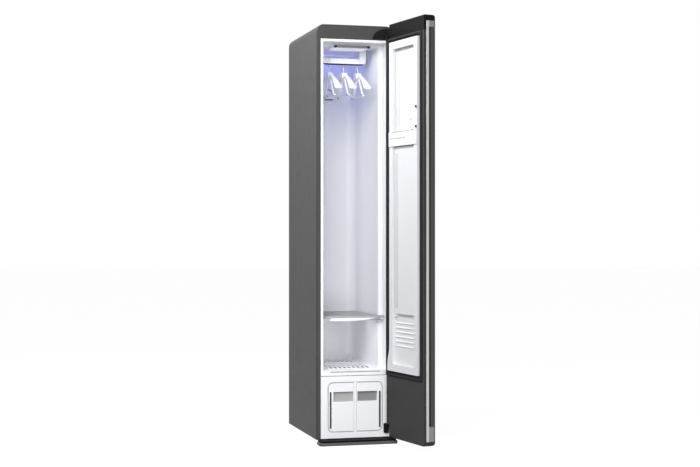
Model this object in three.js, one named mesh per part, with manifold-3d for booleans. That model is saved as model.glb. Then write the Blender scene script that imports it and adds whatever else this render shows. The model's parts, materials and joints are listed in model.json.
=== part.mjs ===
// Clothes care steam cabinet with its door open, in millimetres.
// The origin is at the centre of the body's footprint on the floor, +Z is up and the front faces -Y.

import * as THREE from 'three';
import { mergeVertices } from 'three/addons/utils/BufferGeometryUtils.js';
import Module from 'manifold-3d';

const wasm = await Module();
wasm.setup();

// Overall size
const BODY_WIDTH = 355;
const BODY_DEPTH = 558;
const TOTAL_HEIGHT = 1850;

// Gaps and the fineness of round forms
const FIT = 0.3; // between faces that touch
const SLIDE_GAP = 1.5; // around what slides or lifts out
const OVERRUN = 2; // how far a cutting shape passes the face that it cuts
const ARC_STEPS = 5;
const ROUND_SIDES = 20;
const SMALL_SIDES = 12;

// Floor plate
const PLATE_HEIGHT = 20;
const PLATE_REACH = 70; // in front of the body
const PLATE_CORNER = 14;
const PLATE_WALL = 4;
const PLINTH_INSET = 45; // of the part under the body, from the body's sides and back

// Case, frame and base pan
const CASE_WALL = 2;
const CASE_CORNER = 35;
const FRAME_SIDE = 20;
const FRAME_TOP = 64;
const FRAME_DEPTH = 14;
const PAN_SHEET = 2;
const PAN_RIM = 18;

// Back panel
const BACK_SHEET = 1.7;
const VENT_COUNT = 8;
const VENT_HEIGHT = 8;
const VENT_PITCH = 22;
const VENT_WIDTH = 150;
const VENT_RISE = 70; // above the floor plate
const VENT_CENTRE_X = 50;

// Power inlet
const GLAND_SIDE_SPACE = 55.5; // from the case to the inlet's axis
const GLAND_Z = 80;
const GLAND_RADIUS = 11;
const GLAND_FLANGE_RADIUS = 16;
const GLAND_BORE = 5;
const GLAND_OUTSIDE = 6;
const GLAND_INSIDE = 14;
const GLAND_FLANGE = 3;

// White liner
const LINER_WALL = 2.5;
const LINER_FLANGE = 11;
const LINER_FLANGE_SHEET = 2.5;
const MOUTH_STEP_FRONT = 80; // from the front plane
const MOUTH_STEP_LENGTH = 12;
const CHAMBER_STEP = 17.5; // each side, from the mouth's wall to the room's
const REAR_SPACE = 55; // behind the chamber
const CHAMBER_CORNER = 40;
const LIP_HEIGHT = 23; // from the lower panel to the chamber's floor
const CEILING_DROP = 85; // below the top of the body
const MOUTH_CEILING_RISE = 10;
const LIP_SLIT_INSET = 31.5; // each side, from the mouth's wall
const LIP_SLIT_DROP = 8.5; // below the chamber's floor
const LIP_SLIT_HEIGHT = 3;
const LIP_SLIT_DEPTH = 1.5;

// Ceiling lamp and blue lamp
const LAMP_INSET = 45; // each side, from the chamber's wall
const LAMP_FRONT = 56; // from the front plane
const LAMP_DEPTH = 122;
const LAMP_CORNER = 16;
const LAMP_BEZEL = 6;
const LAMP_DROP = 8;
const LAMP_LENS_HEIGHT = 9.5;
const BLUE_LAMP_INSET = 39; // each side, from the chamber's wall
const BLUE_LAMP_FORWARD = 158; // from the chamber's back
const BLUE_LAMP_DEPTH = 26;
const BLUE_LAMP_DROP = 7;
const BLUE_LAMP_CORNER = 8;

// Moving hanger bar
const BAR_INSET = 22; // each side, from the chamber's wall
const BAR_FORWARD = 46; // in front of the chamber's middle
const BAR_DEPTH = 14;
const BAR_ARM = 12;
const BAR_DROP = 68; // below the ceiling
const BAR_BAND = 24;
const BAR_CORNER = 26;
const BAR_RIB = 2.4;
const BAR_RIB_HEIGHT = 6;
const BAR_RIB_INSET = 25; // each side, from the bar's end
const BAR_TRAVEL = 15; // each way
const BAR_CROSS = 10;
const COVER_SHEET = 2.6;
const COVER_RISE = 5; // shows the dark core below the white cover
const HOOK_NOTCH_DEPTH = 2;
const HOOK_NOTCH = 5.6;
const HOOK_NOTCH_COUNT = 5;

// Shaker mechanism above the ceiling
const SHAKER_INSET = 1; // each side, from the chamber's wall
const SHAKER_REACH = 62; // each side of the bar's line
const SHAKER_SHEET = 3;
const SHAKER_GUIDE = 4;
const SHAKER_GUIDE_START = 32;
const SHAKER_GUIDE_INSET = 37; // from the bar's end
const SHAKER_GUIDE_HEIGHT = 9;
const SHAKER_BRIDGE_HALF = 30;
const SHAKER_BRIDGE_RISE = 28;
const SHAKER_BRIDGE_HOLE = 12;
const YOKE_HALF = 13;
const YOKE_REACH = 25;
const YOKE_SLOT_REACH = 20.5;
const YOKE_SHEET = 6;
const CRANK_RADIUS = 22;
const CRANK_SHEET = 4;
const CRANK_PIN_RADIUS = 4.5;
const CRANK_PIN_GAP = 0.9; // the pin stops this far above the yoke
const CRANK_PIN_LENGTH = 4;
const CRANK_SHAFT_RADIUS = 4;
const CRANK_SHAFT_LENGTH = 22;
const SHAKER_MOTOR_RADIUS = 26;
const SHAKER_MOTOR_HEIGHT = 40;

// Hangers
const HANGER_COUNT = 3;
const HANGER_END_GAP = 15; // from the last hanger to the end of the bar's rib
const HANGER_HALF = 188;
const HANGER_HEAD_DROP = 66; // from the hook's seat to the top of the head
const HANGER_HEAD_HEIGHT = 24;
const HANGER_HEAD_HALF = 13;
const HANGER_NECK_WIDTH = 13;
const HANGER_TIP_GAP = 25; // between the shoulders of two hangers
const HANGER_NECK_HEIGHT = 20;
const HANGER_TIP_HEIGHT = 11;
const HANGER_SHOULDER_FALL = 68; // from the head's middle to the tips
const HANGER_STATIONS = 7;
const HANGER_FLARE_POWER = 1.6; // how late the shoulders widen
const HANGER_STRUT = 7;
const HANGER_STRUT_TOP_HALF = 15;
const HANGER_STRUT_BOTTOM_HALF = 78;
const HANGER_BAR_DROP = 108; // from the head's top to the trouser bar
const HANGER_BAR_HALF = 104;
const HANGER_BAR_RADIUS = 4;
const HOOK_WIRE_RADIUS = 2.2;
const HOOK_RADIUS = 20; // to the middle of the wire
const HOOK_STEM_SHARE = 1.9; // from the ring's middle down to the straight stem
const HOOK_ARC_DEGREES = [-42, -15, 15, 45, 75, 105, 135, 165, 190];
const HOOK_STEPS = 32;
const HOOK_SIDES = 6;
const HOOK_SEAT_DEPTH = 16;

// Fragrance case on the back wall
const FRAGRANCE_DROP = 170; // below the ceiling
const FRAGRANCE_RADIUS = 50;
const FRAGRANCE_DEPTH = 16;
const FRAGRANCE_RIM = 8;
const FRAGRANCE_FLOOR = 4;
const FRAGRANCE_CAP_SHEET = 4;
const FRAGRANCE_KNOB_RADIUS = 12.5;
const FRAGRANCE_KNOB_HEIGHT = 6;
const FRAGRANCE_PIN_RADIUS = 4;

// Shelf and its rails
const SHELF_INSET = 5; // each side, from the chamber's wall
const SHELF_REAR_SPACE = 63; // to the chamber's back
const SHELF_RISE = 238; // above the chamber's floor
const SHELF_HEAD_DEPTH = 41; // of the closed part in the mouth
const SHOULDER_GAP = 1; // between the shelf's closed part and the shoulders beside it
const SHELF_EDGE = 12;
const SHELF_RIM = 10;
const SHELF_SHEET = 5;
const SHELF_SET_DOWN = 1;
const SHELF_SLOT_ROWS = 11;
const SHELF_SLOT = 17;
const SHELF_SPINE = 16;
const APRON_INSET = 17; // each side, from the chamber part's end
const APRON_DROP = 9; // below the shelf's top
const APRON_HEIGHT = 13;
const APRON_SHEET = 3;
const APRON_NOSE = 8;
const LEDGE_DEPTH = 9;
const LEDGE_SHEET = 3.5;
const LEDGE_FLANGE = 2.4;
const LEDGE_FLANGE_HEIGHT = 27;
const LEDGE_SETBACK = 14; // behind the shelf's front

// Floor grilles
const GRILLE_INSET = 24; // each side, from the chamber's wall
const GRILLE_SHEET = 3;
const GRILLE_BORDER = 10;
const FRONT_GRILLE_FRONT = 59; // from the front plane
const FRONT_GRILLE_DEPTH = 186;
const REAR_GRILLE_DEPTH = 112;
const REAR_GRILLE_SPACE = 34; // to the chamber's back
const GRILLE_COLUMNS = 9;
const GRILLE_ROWS = 2;
const GRILLE_SLOT = 8;
const GRILLE_LEAN = 7;
const GRILLE_LEDGE = 5; // rests on the floor beside the opening
const FILTER_SKIRT = 24;
const FILTER_WALL = 2;

// White lower panel and the tanks behind it
const PANEL_TOP = 299;
const PANEL_SHEET = 6;
const PANEL_GROOVE_Z = 34;
const PANEL_GROOVE = 2;
const PANEL_GROOVE_DEPTH = 1;
const TANK_WINDOW_INSET = 31.5; // each side, from the frame
const TANK_WINDOW_BOTTOM = 50;
const PANEL_HEAD = 28; // of the panel, above its windows
const TANK_WINDOW_CORNER = 22;
const TANK_POST_HALF = 6;
const TANK_FACE_GAP = 1;
const TANK_FACE = 8;
const TANK_INNER_GAP = 1.5; // beside the window's post
const TANK_SIDE_GAP = 3.6; // inside the window's edge
const TANK_RAISE = 9; // above the window's lower edge
const TANK_HEAD = 9; // below the window's upper edge
const MACHINE_DEPTH = 374; // behind the tanks, to the back plane
const TANK_WALL = 2.5;
const TANK_FILL_RADIUS = 22;
const TANK_FILL_FORWARD = 34; // from the tank's back
const GRIP_OUTER_GAP = 22.4; // from the tank's outer side
const GRIP_HEIGHT = 43;
const GRIP_DROP = 43; // below the window's upper edge
const GRIP_DEPTH = 22;
const GRIP_LIP = 5;
const GRIP_LIP_RISE = 14;
const SIGHT_SLOT_INSET = 9; // from the tank's outer side
const SIGHT_SLOT = 6.5;
const SIGHT_SLOT_RAISE = 16; // above the window's lower edge
const SIGHT_SLOT_DEPTH = 4;
const BAY_WALL = 2.4;
const BAY_DIVIDER_HALF = 2;
const BAY_SINK = 7; // below the windows
const BAY_HEAD = 3; // above the windows
const BAY_REAR_GAP = 8; // behind the tanks
const BAY_PORT_RADIUS = 9;
const BAY_PORT_Z = 78;
const BAY_RUNNER_X = 60;
const BAY_RUNNER_WIDTH = 20;
const BAY_RUNNER_FRONT = 20; // from the front plane

// Heat pump coils
const COIL_DROP = 92; // below the chamber's floor
const COIL_DEPTH = 40;
const COIL_FINS = 16;
const COIL_SPINE = 8;
const COIL_FIN_SHARE = 0.4;
const EVAPORATOR_GAP = 12; // behind the tank bay
const COIL_GAP = 6; // between the two coils

// Compressor
const COMPRESSOR_GAP = 14; // to the blower
const COMPRESSOR_FROM_BACK = 149;
const COMPRESSOR_SIDE_SPACE = 9.5; // to the case
const COMPRESSOR_HEIGHT = 160;
const COMPRESSOR_DOME = 24;
const COMPRESSOR_PLATE_RIM = 2; // beyond the can
const COMPRESSOR_PLATE = 4;
const COMPRESSOR_PAD_RADIUS = 9;
const COMPRESSOR_PAD = 8;
const COMPRESSOR_PAD_INSET = 12;

// Blower
const FAN_FROM_BACK = 155;
const FAN_DROP = 107; // below the chamber's floor
const SCROLL_RADIUS = 84;
const SCROLL_HALF = 52;
const SCROLL_WALL = 3;
const SCROLL_INLET = 50;
const SCROLL_DUCT_REACH = 44; // in front of the axis
const SCROLL_FOOT_HALF = 12;
const SCROLL_FOOT_REACH = 40;
const WHEEL_SPACE = 12; // from the wheel to the housing's outside
const WHEEL_RIM = 14;
const WHEEL_SHEET = 4;
const WHEEL_BLADES = 12;
const WHEEL_BLADE = 2;
const WHEEL_HUB_RADIUS = 14;
const WHEEL_HUB_LENGTH = 16;
const WHEEL_SHAFT_RADIUS = 5;
const WHEEL_SHAFT_LENGTH = 34; // outside the scroll
const FAN_MOTOR_RADIUS = 36;
const FAN_MOTOR_LENGTH = 56;
const SHAFT_CLEARANCE = 0.4;

// Steam generator, pipe and nozzle
const BOILER_GAP = 5; // to the blower
const BOILER_SIDE_SPACE = 10.5; // to the case
const BOILER_FROM_BACK = 64;
const BOILER_DEPTH = 145;
const BOILER_HEIGHT = 118;
const BOILER_CORNER = 14;
const STEAM_INSET = 25; // from the chamber's wall
const STEAM_PIPE_RADIUS = 8;
const STEAM_BORE = 5;
const STEAM_SEAT = 15;
const NOZZLE_RADIUS = 14;
const NOZZLE_FLANGE = 4;
const NOZZLE_HEIGHT = 12;
const NOZZLE_GAP = 1; // behind the rear grille

// Water pump
const PUMP_SIDE_SPACE = 13.5; // to the case
const PUMP_COIL_GAP = 12;
const PUMP_SETBACK = 25; // behind the evaporator's front
const PUMP_RADIUS = 20;
const PUMP_HEIGHT = 60;
const PUMP_SPOUT_RADIUS = 6;
const PUMP_SPOUT_LENGTH = 18;

// Control board above the ceiling
const BOARD_HALF = 95;
const BOARD_FROM_BACK = 73;
const BOARD_DEPTH = 140;
const BOARD_TRAY = 3;
const BOARD_RIM = 14;
const BOARD_BLOCK = 34;
const BOARD_BLOCK_HEIGHT = 30;

// Door
const HINGE_TO_EDGE = 12; // from the axis to the door's hinge-side edge
const HINGE_TO_FACE = 27; // from the axis to the door's inner face
const DOOR_EDGE_SETBACK = 1; // from the body's side to the door's edge
const DOOR_GAP = 8; // between the body and the closed door
const DOOR_THICK = 53;
const DOOR_BOTTOM = 29;
const DOOR_OPEN_ANGLE = 100;
const DOOR_CORNER = 14;
const DOOR_SKIN = 11.5;
const DOOR_WALL = 3;
const GLASS_SHEET = 4;
const HANDLE_WIDTH = 14.5;
const SILVER_STRIP = 12.8;
const GRIP_GROOVE = 9.4;
const GRIP_GROOVE_DEPTH = 27;
const SILVER_RISE = 19; // above the door's lower edge
const SILVER_DROP = 24; // below the door's upper edge
const LOWER_CAP = 64; // of the silver trim, below the groove
const UPPER_CAP = 27;

// Door hinges
const HINGE_PLATE = 5.4;
const TOP_PLATE_WIDTH = 74;
const BOTTOM_PLATE_WIDTH = 23;
const TOP_PLATE_HEIGHT = 50;
const TOP_PLATE_DROP = 10; // below the top of the body
const BOTTOM_PLATE_RISE = 11; // above the door's lower edge
const HINGE_PLATE_END = 12; // from the axis, clear of the door's swinging corner
const HINGE_ARM_RADIUS = 11;
const HINGE_ARM_SHEET = 8;
const HINGE_PIN_RADIUS = 5;
const HINGE_PIN_LENGTH = 22;
const HINGE_PIN_CLEARANCE = 0.3;
const HINGE_KEEP = 44; // solid door beyond each arm, around its pin
const NOTCH_HEIGHT = 55; // at the bottom
const NOTCH_HEIGHT_TOP = 44;
const NOTCH_REACH = 15;
const NOTCH_DEPTH = 24;
const HINGE_ARM_GAP = 6; // between the arm and the notch's end

// Door gasket
const GASKET_START = 19; // from the door's edge
const GASKET_WIDTH = 11.5;
const GASKET_HEIGHT = 7.2;
const GASKET_RISE = 4; // above the lower panel

// White liner of the door, measured from the hinge-side edge of the door
const TRAY_START = 36;
const TRAY_HANDLE_SPACE = 36; // to the door's handle-side edge
const TRAY_WAIST_START = 55;
const TRAY_RAISE = 22.5; // above the seal's lower edge
const TRAY_FLARE_RISE = 19.5; // above the tray's lower edge
const TRAY_FLARE_HEIGHT = 95;
const TRAY_DROP = 22; // below the seal's upper edge
const TRAY_RISE = 14;
const TRAY_RIM = 31;
const TRAY_SINK = 4; // of the tray's floor below the door's inner face
const TRAY_WALL = 2.5;
const TRAY_CORNER = 12;

// Trouser press on the door
const BAND_HEIGHT = 63;
const BAND_DROP = 394; // below the tray's upper edge
const BAND_RISE = 17;
const LATCH_END_SPACE = 111; // to the tray's handle-side edge
const LATCH_HEIGHT = 28;
const LATCH_LIP = 2;
const LATCH_SHEET = 5.6;
const LATCH_GAP = 0.6;
const LATCH_BARREL = 2.8;
const LATCH_PIN_RADIUS = 1.5;
const LATCH_PIN = 3;
const FLAP_RISE = 251.5; // above the tray's lower edge
const FLAP_TOP_GAP = 3;
const FLAP_SIDE_GAP = 4;
const FLAP_SHEET = 8;
const FLAP_LIFT = 1; // above the tray's floor
const FLAP_PIN_RADIUS = 2.5;
const FLAP_PIN = 7;
const FLAP_LUG = 12;
const FLAP_LUG_WIDTH = 18;
const HOLDER_REACH = 86; // from the tray's handle-side edge
const HOLDER_GAP = 5; // above the band
const HOLDER_HEIGHT = 86;
const HOLDER_RISE = 10;
const KNOB_REACH = 66; // from the tray's handle-side edge
const KNOB_DROP = 29; // below the holder's upper edge
const KNOB_RADIUS = 18.5;
const KNOB_HEIGHT = 9;
const KNOB_BAR = 6;
const KNOB_BAR_HEIGHT = 4;
const KNOB_STEM_RADIUS = 5;
const KNOB_STEM = 8;

// Places worked out from the sizes above
const half = (length) => length / 2;
const RIGHT = half(BODY_WIDTH);
const LEFT = -RIGHT;
const BACK = half(BODY_DEPTH);
const FRONT = -BACK;
const behindFront = (distance) => FRONT + distance;
const INSIDE = RIGHT - CASE_WALL;
const FRAME_INSIDE = RIGHT - FRAME_SIDE;
const FRAME_INSIDE_TOP = TOTAL_HEIGHT - FRAME_TOP;
const PAN_TOP = PLATE_HEIGHT + PAN_SHEET;
const FLOOR_OF_PAN = PAN_TOP + FIT;
const VENT_BOTTOM = PLATE_HEIGHT + VENT_RISE;
const GLAND_X = -(INSIDE - GLAND_SIDE_SPACE);
const MOUTH_HALF = FRAME_INSIDE - LINER_FLANGE;
const MOUTH_STEP_BACK = MOUTH_STEP_FRONT + MOUTH_STEP_LENGTH;
const CHAMBER_HALF = MOUTH_HALF - CHAMBER_STEP;
const CHAMBER_BACK = BODY_DEPTH - REAR_SPACE;
const CHAMBER_BACK_Y = behindFront(CHAMBER_BACK);
const FLOOR_Z = PANEL_TOP + LIP_HEIGHT;
const CEILING_Z = TOTAL_HEIGHT - CEILING_DROP;
const MOUTH_CEILING = CEILING_Z + MOUTH_CEILING_RISE;
const LINER_TOP = CEILING_Z + LINER_WALL;
const LIP_SLIT_HALF = MOUTH_HALF - LIP_SLIT_INSET;
const LIP_SLIT_Z = FLOOR_Z - LIP_SLIT_DROP;
const LAMP_HALF = CHAMBER_HALF - LAMP_INSET;
const BLUE_LAMP_HALF = CHAMBER_HALF - BLUE_LAMP_INSET;
const BLUE_LAMP_Y = CHAMBER_BACK - BLUE_LAMP_FORWARD;
const BAR_HALF = CHAMBER_HALF - BAR_INSET;
const BAR_CENTRE = behindFront(half(CHAMBER_BACK) - BAR_FORWARD);
const BAR_BOTTOM = CEILING_Z - BAR_DROP;
const BAR_RIB_HALF = BAR_HALF - BAR_RIB_INSET;
const BAR_SHOULDER = BAR_BOTTOM + BAR_BAND;
const BAR_TOP = BAR_SHOULDER + BAR_RIB_HEIGHT;
const HOOK_SEAT = BAR_TOP - HOOK_NOTCH_DEPTH;
const SHAKER_FLOOR = LINER_TOP + FIT;
const SHAKER_DECK = SHAKER_FLOOR + SHAKER_SHEET;
const CROSS_BOTTOM = SHAKER_DECK + FIT;
const CROSS_TOP = CROSS_BOTTOM + BAR_CROSS;
const CRANK_BOTTOM = CROSS_TOP + CRANK_PIN_GAP + CRANK_PIN_LENGTH;
const BRIDGE_TOP = SHAKER_DECK + SHAKER_BRIDGE_RISE;
const SHAKER_HALF = CHAMBER_HALF - SHAKER_INSET;
const SHAKER_GUIDE_END = BAR_HALF - SHAKER_GUIDE_INSET;
const HANGER_PITCH = (BAR_RIB_HALF - HANGER_END_GAP) / half(HANGER_COUNT - 1);
const HANGER_TIP_WIDTH = HANGER_PITCH - HANGER_TIP_GAP;
const FRAGRANCE_Z = CEILING_Z - FRAGRANCE_DROP;
const SHELF_HALF = CHAMBER_HALF - SHELF_INSET;
const SHELF_FRONT = MOUTH_STEP_FRONT - SHELF_HEAD_DEPTH;
const SHELF_BACK = CHAMBER_BACK - SHELF_REAR_SPACE;
const SHELF_TOP = FLOOR_Z + SHELF_RISE;
const APRON_HALF = SHELF_HALF - APRON_INSET;
const GRILLE_HALF = CHAMBER_HALF - GRILLE_INSET;
const FRONT_GRILLE_BACK = FRONT_GRILLE_FRONT + FRONT_GRILLE_DEPTH;
const REAR_GRILLE_BACK = CHAMBER_BACK - REAR_GRILLE_SPACE;
const REAR_GRILLE_FRONT = REAR_GRILLE_BACK - REAR_GRILLE_DEPTH;
const TANK_WINDOW_HALF = FRAME_INSIDE - TANK_WINDOW_INSET;
const TANK_WINDOW_TOP = PANEL_TOP - PANEL_HEAD;
const TANK_INNER_X = TANK_POST_HALF + TANK_INNER_GAP;
const TANK_OUTER_X = TANK_WINDOW_HALF - TANK_SIDE_GAP;
const TANK_BOTTOM = TANK_WINDOW_BOTTOM + TANK_RAISE;
const TANK_TOP = TANK_WINDOW_TOP - TANK_HEAD;
const TANK_DEPTH = BODY_DEPTH - MACHINE_DEPTH;
const TANK_FILL_Y = TANK_DEPTH - TANK_FILL_FORWARD;
const GRIP_OUTER_X = TANK_OUTER_X - GRIP_OUTER_GAP;
const GRIP_TOP = TANK_WINDOW_TOP - GRIP_DROP;
const GRIP_BOTTOM = GRIP_TOP - GRIP_HEIGHT;
const SIGHT_SLOT_X = TANK_OUTER_X - SIGHT_SLOT_INSET;
const SIGHT_SLOT_BOTTOM = TANK_WINDOW_BOTTOM + SIGHT_SLOT_RAISE;
const BAY_BOTTOM = TANK_WINDOW_BOTTOM - BAY_SINK;
const BAY_TOP = TANK_WINDOW_TOP + BAY_HEAD;
const BAY_DEPTH = TANK_DEPTH + BAY_REAR_GAP;
const EVAPORATOR_Y = BAY_DEPTH + EVAPORATOR_GAP;
const CONDENSER_Y = EVAPORATOR_Y + COIL_DEPTH + COIL_GAP;
const PUMP_X = INSIDE - PUMP_SIDE_SPACE - PUMP_RADIUS;
const PUMP_Y = EVAPORATOR_Y + PUMP_SETBACK;
const COIL_HALF = PUMP_X - PUMP_RADIUS - PUMP_COIL_GAP;
const COIL_TOP = FLOOR_Z - COIL_DROP;
const COMPRESSOR_RADIUS = half(INSIDE - SCROLL_HALF - COMPRESSOR_GAP - COMPRESSOR_SIDE_SPACE);
const COMPRESSOR_PLATE_HALF = COMPRESSOR_RADIUS + COMPRESSOR_PLATE_RIM;
const COMPRESSOR_X = -SCROLL_HALF - COMPRESSOR_GAP - COMPRESSOR_RADIUS;
const COMPRESSOR_Y = BODY_DEPTH - COMPRESSOR_FROM_BACK;
const FAN_CENTRE = BACK - FAN_FROM_BACK;
const FAN_Z = FLOOR_Z - FAN_DROP;
const WHEEL_RADIUS = SCROLL_RADIUS - WHEEL_SPACE;
const WHEEL_HALF = SCROLL_HALF - WHEEL_SPACE;
const BOILER_X = [SCROLL_HALF + BOILER_GAP, INSIDE - BOILER_SIDE_SPACE];
const BOILER_Y = [BACK - BOILER_FROM_BACK - BOILER_DEPTH, BACK - BOILER_FROM_BACK];
const STEAM_X = CHAMBER_HALF - STEAM_INSET;
const STEAM_Y = REAR_GRILLE_BACK + NOZZLE_GAP + NOZZLE_RADIUS;
const BOARD_Y = [BACK - BOARD_FROM_BACK - BOARD_DEPTH, BACK - BOARD_FROM_BACK];
const HINGE_X = RIGHT - DOOR_EDGE_SETBACK - HINGE_TO_EDGE;
const HINGE_Y = FRONT - DOOR_GAP - HINGE_TO_FACE;
const DOOR_WIDTH = BODY_WIDTH - DOOR_EDGE_SETBACK;
const SILVER_BOTTOM = DOOR_BOTTOM + SILVER_RISE;
const SILVER_TOP = TOTAL_HEIGHT - SILVER_DROP;
const GROOVE_BOTTOM = SILVER_BOTTOM + LOWER_CAP;
const GROOVE_TOP = SILVER_TOP - UPPER_CAP;
const TOP_PLATE_TOP = TOTAL_HEIGHT - TOP_PLATE_DROP;
const TOP_PLATE_BOTTOM = TOP_PLATE_TOP - TOP_PLATE_HEIGHT;
const BOTTOM_PLATE_BOTTOM = DOOR_BOTTOM + BOTTOM_PLATE_RISE;
const BOTTOM_PLATE_TOP = DOOR_BOTTOM + NOTCH_HEIGHT;
const GASKET_BOTTOM = PANEL_TOP + GASKET_RISE;
const GASKET_TOP = FRAME_INSIDE_TOP;
const TRAY_END = DOOR_WIDTH - TRAY_HANDLE_SPACE;
const TRAY_BOTTOM = GASKET_BOTTOM + TRAY_RAISE;
const TRAY_FLARE_BOTTOM = TRAY_BOTTOM + TRAY_FLARE_RISE;
const TRAY_FLARE_TOP = TRAY_FLARE_BOTTOM + TRAY_FLARE_HEIGHT;
const TRAY_TOP = GASKET_TOP - TRAY_DROP;
const BAND_TOP = TRAY_TOP - BAND_DROP;
const BAND_BOTTOM = BAND_TOP - BAND_HEIGHT;
const LATCH_END = TRAY_END - LATCH_END_SPACE;
const FLAP_BOTTOM = TRAY_BOTTOM + FLAP_RISE;
const HOLDER_START = TRAY_END - HOLDER_REACH;
const HOLDER_BOTTOM = BAND_TOP + HOLDER_GAP;
const HOLDER_TOP = HOLDER_BOTTOM + HOLDER_HEIGHT;
const KNOB_AT = TRAY_END - KNOB_REACH;
const KNOB_Z = HOLDER_TOP - KNOB_DROP;

// Finishes
const WHITE = { color: 0xf0f1f4, roughness: 0.45, metalness: 0 };
const SATIN_WHITE = { color: 0xe4e5e9, roughness: 0.6, metalness: 0 };
const CASE_GREY = { color: 0x565656, roughness: 0.5, metalness: 0.3 };
const FRAME_GREY = { color: 0x474747, roughness: 0.5, metalness: 0.2 };
const DOOR_GREY = { color: 0x3b3b3c, roughness: 0.55, metalness: 0.1 };
const BLACK = { color: 0x1b1b1c, roughness: 0.5, metalness: 0.1 };
const SILVER = { color: 0xb9b9b7, roughness: 0.3, metalness: 0.9 };
const STEEL = { color: 0x9b9ea2, roughness: 0.4, metalness: 0.8 };
const RUBBER = { color: 0x2b2b2c, roughness: 0.85, metalness: 0 };
const SHELF_GREY = { color: 0x9a9ca1, roughness: 0.5, metalness: 0.1 };
const TINTED_GLASS = { color: 0x1e2022, roughness: 0.08, metalness: 0.4 };
const LAMP_WHITE = { color: 0xffffff, roughness: 0.3, metalness: 0 };
const LAMP_BLUE = { color: 0x6f78ff, roughness: 0.3, metalness: 0 };
const ALUMINIUM = { color: 0xb4b8bb, roughness: 0.45, metalness: 0.9 };
const GREEN_BOARD = { color: 0x2f5a45, roughness: 0.6, metalness: 0 };

// Shape helpers
const middle = (range) => half(range[0] + range[1]);
const length = (range) => range[1] - range[0];
const grown = (range, by) => [range[0] - by, range[1] + by];
const mirrored = (range, side) => (side > 0 ? range : [-range[1], -range[0]]);
const aroundZero = (reach) => [-reach, reach];

function block(x, y, z) {
  const geometry = new THREE.BoxGeometry(length(x), length(y), length(z));
  return geometry.translate(middle(x), middle(y), middle(z));
}

function extruded(shape, depth) {
  return new THREE.ExtrudeGeometry(shape, { depth, bevelEnabled: false, curveSegments: ARC_STEPS });
}

// A shape drawn in X and Y, standing along Z
function prismZ(shape, z) {
  return extruded(shape, length(z)).translate(0, 0, z[0]);
}

// A shape drawn in X and Z, lying along Y
function prismY(shape, y) {
  return extruded(shape, length(y)).rotateX(Math.PI / 2).translate(0, y[1], 0);
}

// A shape drawn in Y and Z, lying along X
function prismX(shape, x) {
  const turn = new THREE.Matrix4().makeBasis(
    new THREE.Vector3(0, 1, 0),
    new THREE.Vector3(0, 0, 1),
    new THREE.Vector3(1, 0, 0),
  );
  return extruded(shape, length(x)).applyMatrix4(turn).translate(x[0], 0, 0);
}

function outline(points) {
  return new THREE.Shape(points.map(([x, y]) => new THREE.Vector2(x, y)));
}

function roundedRectangle(x, y, corner) {
  const shape = new THREE.Shape();
  shape.absarc(x[1] - corner, y[0] + corner, corner, -Math.PI / 2, 0, false);
  shape.absarc(x[1] - corner, y[1] - corner, corner, 0, Math.PI / 2, false);
  shape.absarc(x[0] + corner, y[1] - corner, corner, Math.PI / 2, Math.PI, false);
  shape.absarc(x[0] + corner, y[0] + corner, corner, Math.PI, 1.5 * Math.PI, false);
  shape.closePath();
  return shape;
}

// Upright sides, a flat bottom and two round corners at the top
function archShape(reach, bottom, top, corner) {
  const shape = new THREE.Shape();
  shape.moveTo(-reach, bottom);
  shape.lineTo(reach, bottom);
  shape.absarc(reach - corner, top - corner, corner, 0, Math.PI / 2, false);
  shape.absarc(corner - reach, top - corner, corner, Math.PI / 2, Math.PI, false);
  shape.closePath();
  return shape;
}

function turnedZ(profile, sides, x, y) {
  const points = profile.map(([radius, z]) => new THREE.Vector2(radius, z));
  return new THREE.LatheGeometry(points, sides).rotateX(Math.PI / 2).translate(x, y, 0);
}

// A profile of radius and place along Y
function turnedY(profile, sides, x, z) {
  const points = profile.map(([radius, y]) => new THREE.Vector2(radius, y));
  return new THREE.LatheGeometry(points, sides).translate(x, 0, z);
}

// A profile of radius and place along X
function turnedX(profile, sides, y, z) {
  const points = profile.map(([radius, x]) => new THREE.Vector2(radius, x));
  return new THREE.LatheGeometry(points, sides).rotateZ(-Math.PI / 2).translate(0, y, z);
}

function rodProfile(radius, range) {
  return [
    [0, range[0]],
    [radius, range[0]],
    [radius, range[1]],
    [0, range[1]],
  ];
}

function tubeProfile(bore, radius, range) {
  return [
    [bore, range[0]],
    [radius, range[0]],
    [radius, range[1]],
    [bore, range[1]],
    [bore, range[0]],
  ];
}

const rodZ = (radius, z, x, y, sides = SMALL_SIDES) => turnedZ(rodProfile(radius, z), sides, x, y);
const rodY = (radius, y, x, z, sides = SMALL_SIDES) => turnedY(rodProfile(radius, y), sides, x, z);
const rodX = (radius, x, y, z, sides = SMALL_SIDES) => turnedX(rodProfile(radius, x), sides, y, z);

// Solid joins and cuts
function solidOf(geometry) {
  const bare = geometry.clone();
  bare.deleteAttribute('normal');
  bare.deleteAttribute('uv');
  const merged = mergeVertices(bare);
  const mesh = new wasm.Mesh({
    numProp: 3,
    vertProperties: merged.attributes.position.array,
    triVerts: new Uint32Array(merged.index.array),
  });
  return new wasm.Manifold(mesh);
}

function geometryOf(solid) {
  const mesh = solid.getMesh();
  const geometry = new THREE.BufferGeometry();
  geometry.setAttribute('position', new THREE.BufferAttribute(mesh.vertProperties, 3));
  geometry.setIndex(new THREE.BufferAttribute(mesh.triVerts, 1));
  return geometry;
}

function fused(...pieces) {
  return geometryOf(pieces.map(solidOf).reduce((whole, piece) => whole.add(piece)));
}

function carved(base, ...cutters) {
  return geometryOf(cutters.map(solidOf).reduce((rest, cutter) => rest.subtract(cutter), solidOf(base)));
}

function kept(base, room) {
  return geometryOf(solidOf(base).intersect(solidOf(room)));
}

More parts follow.
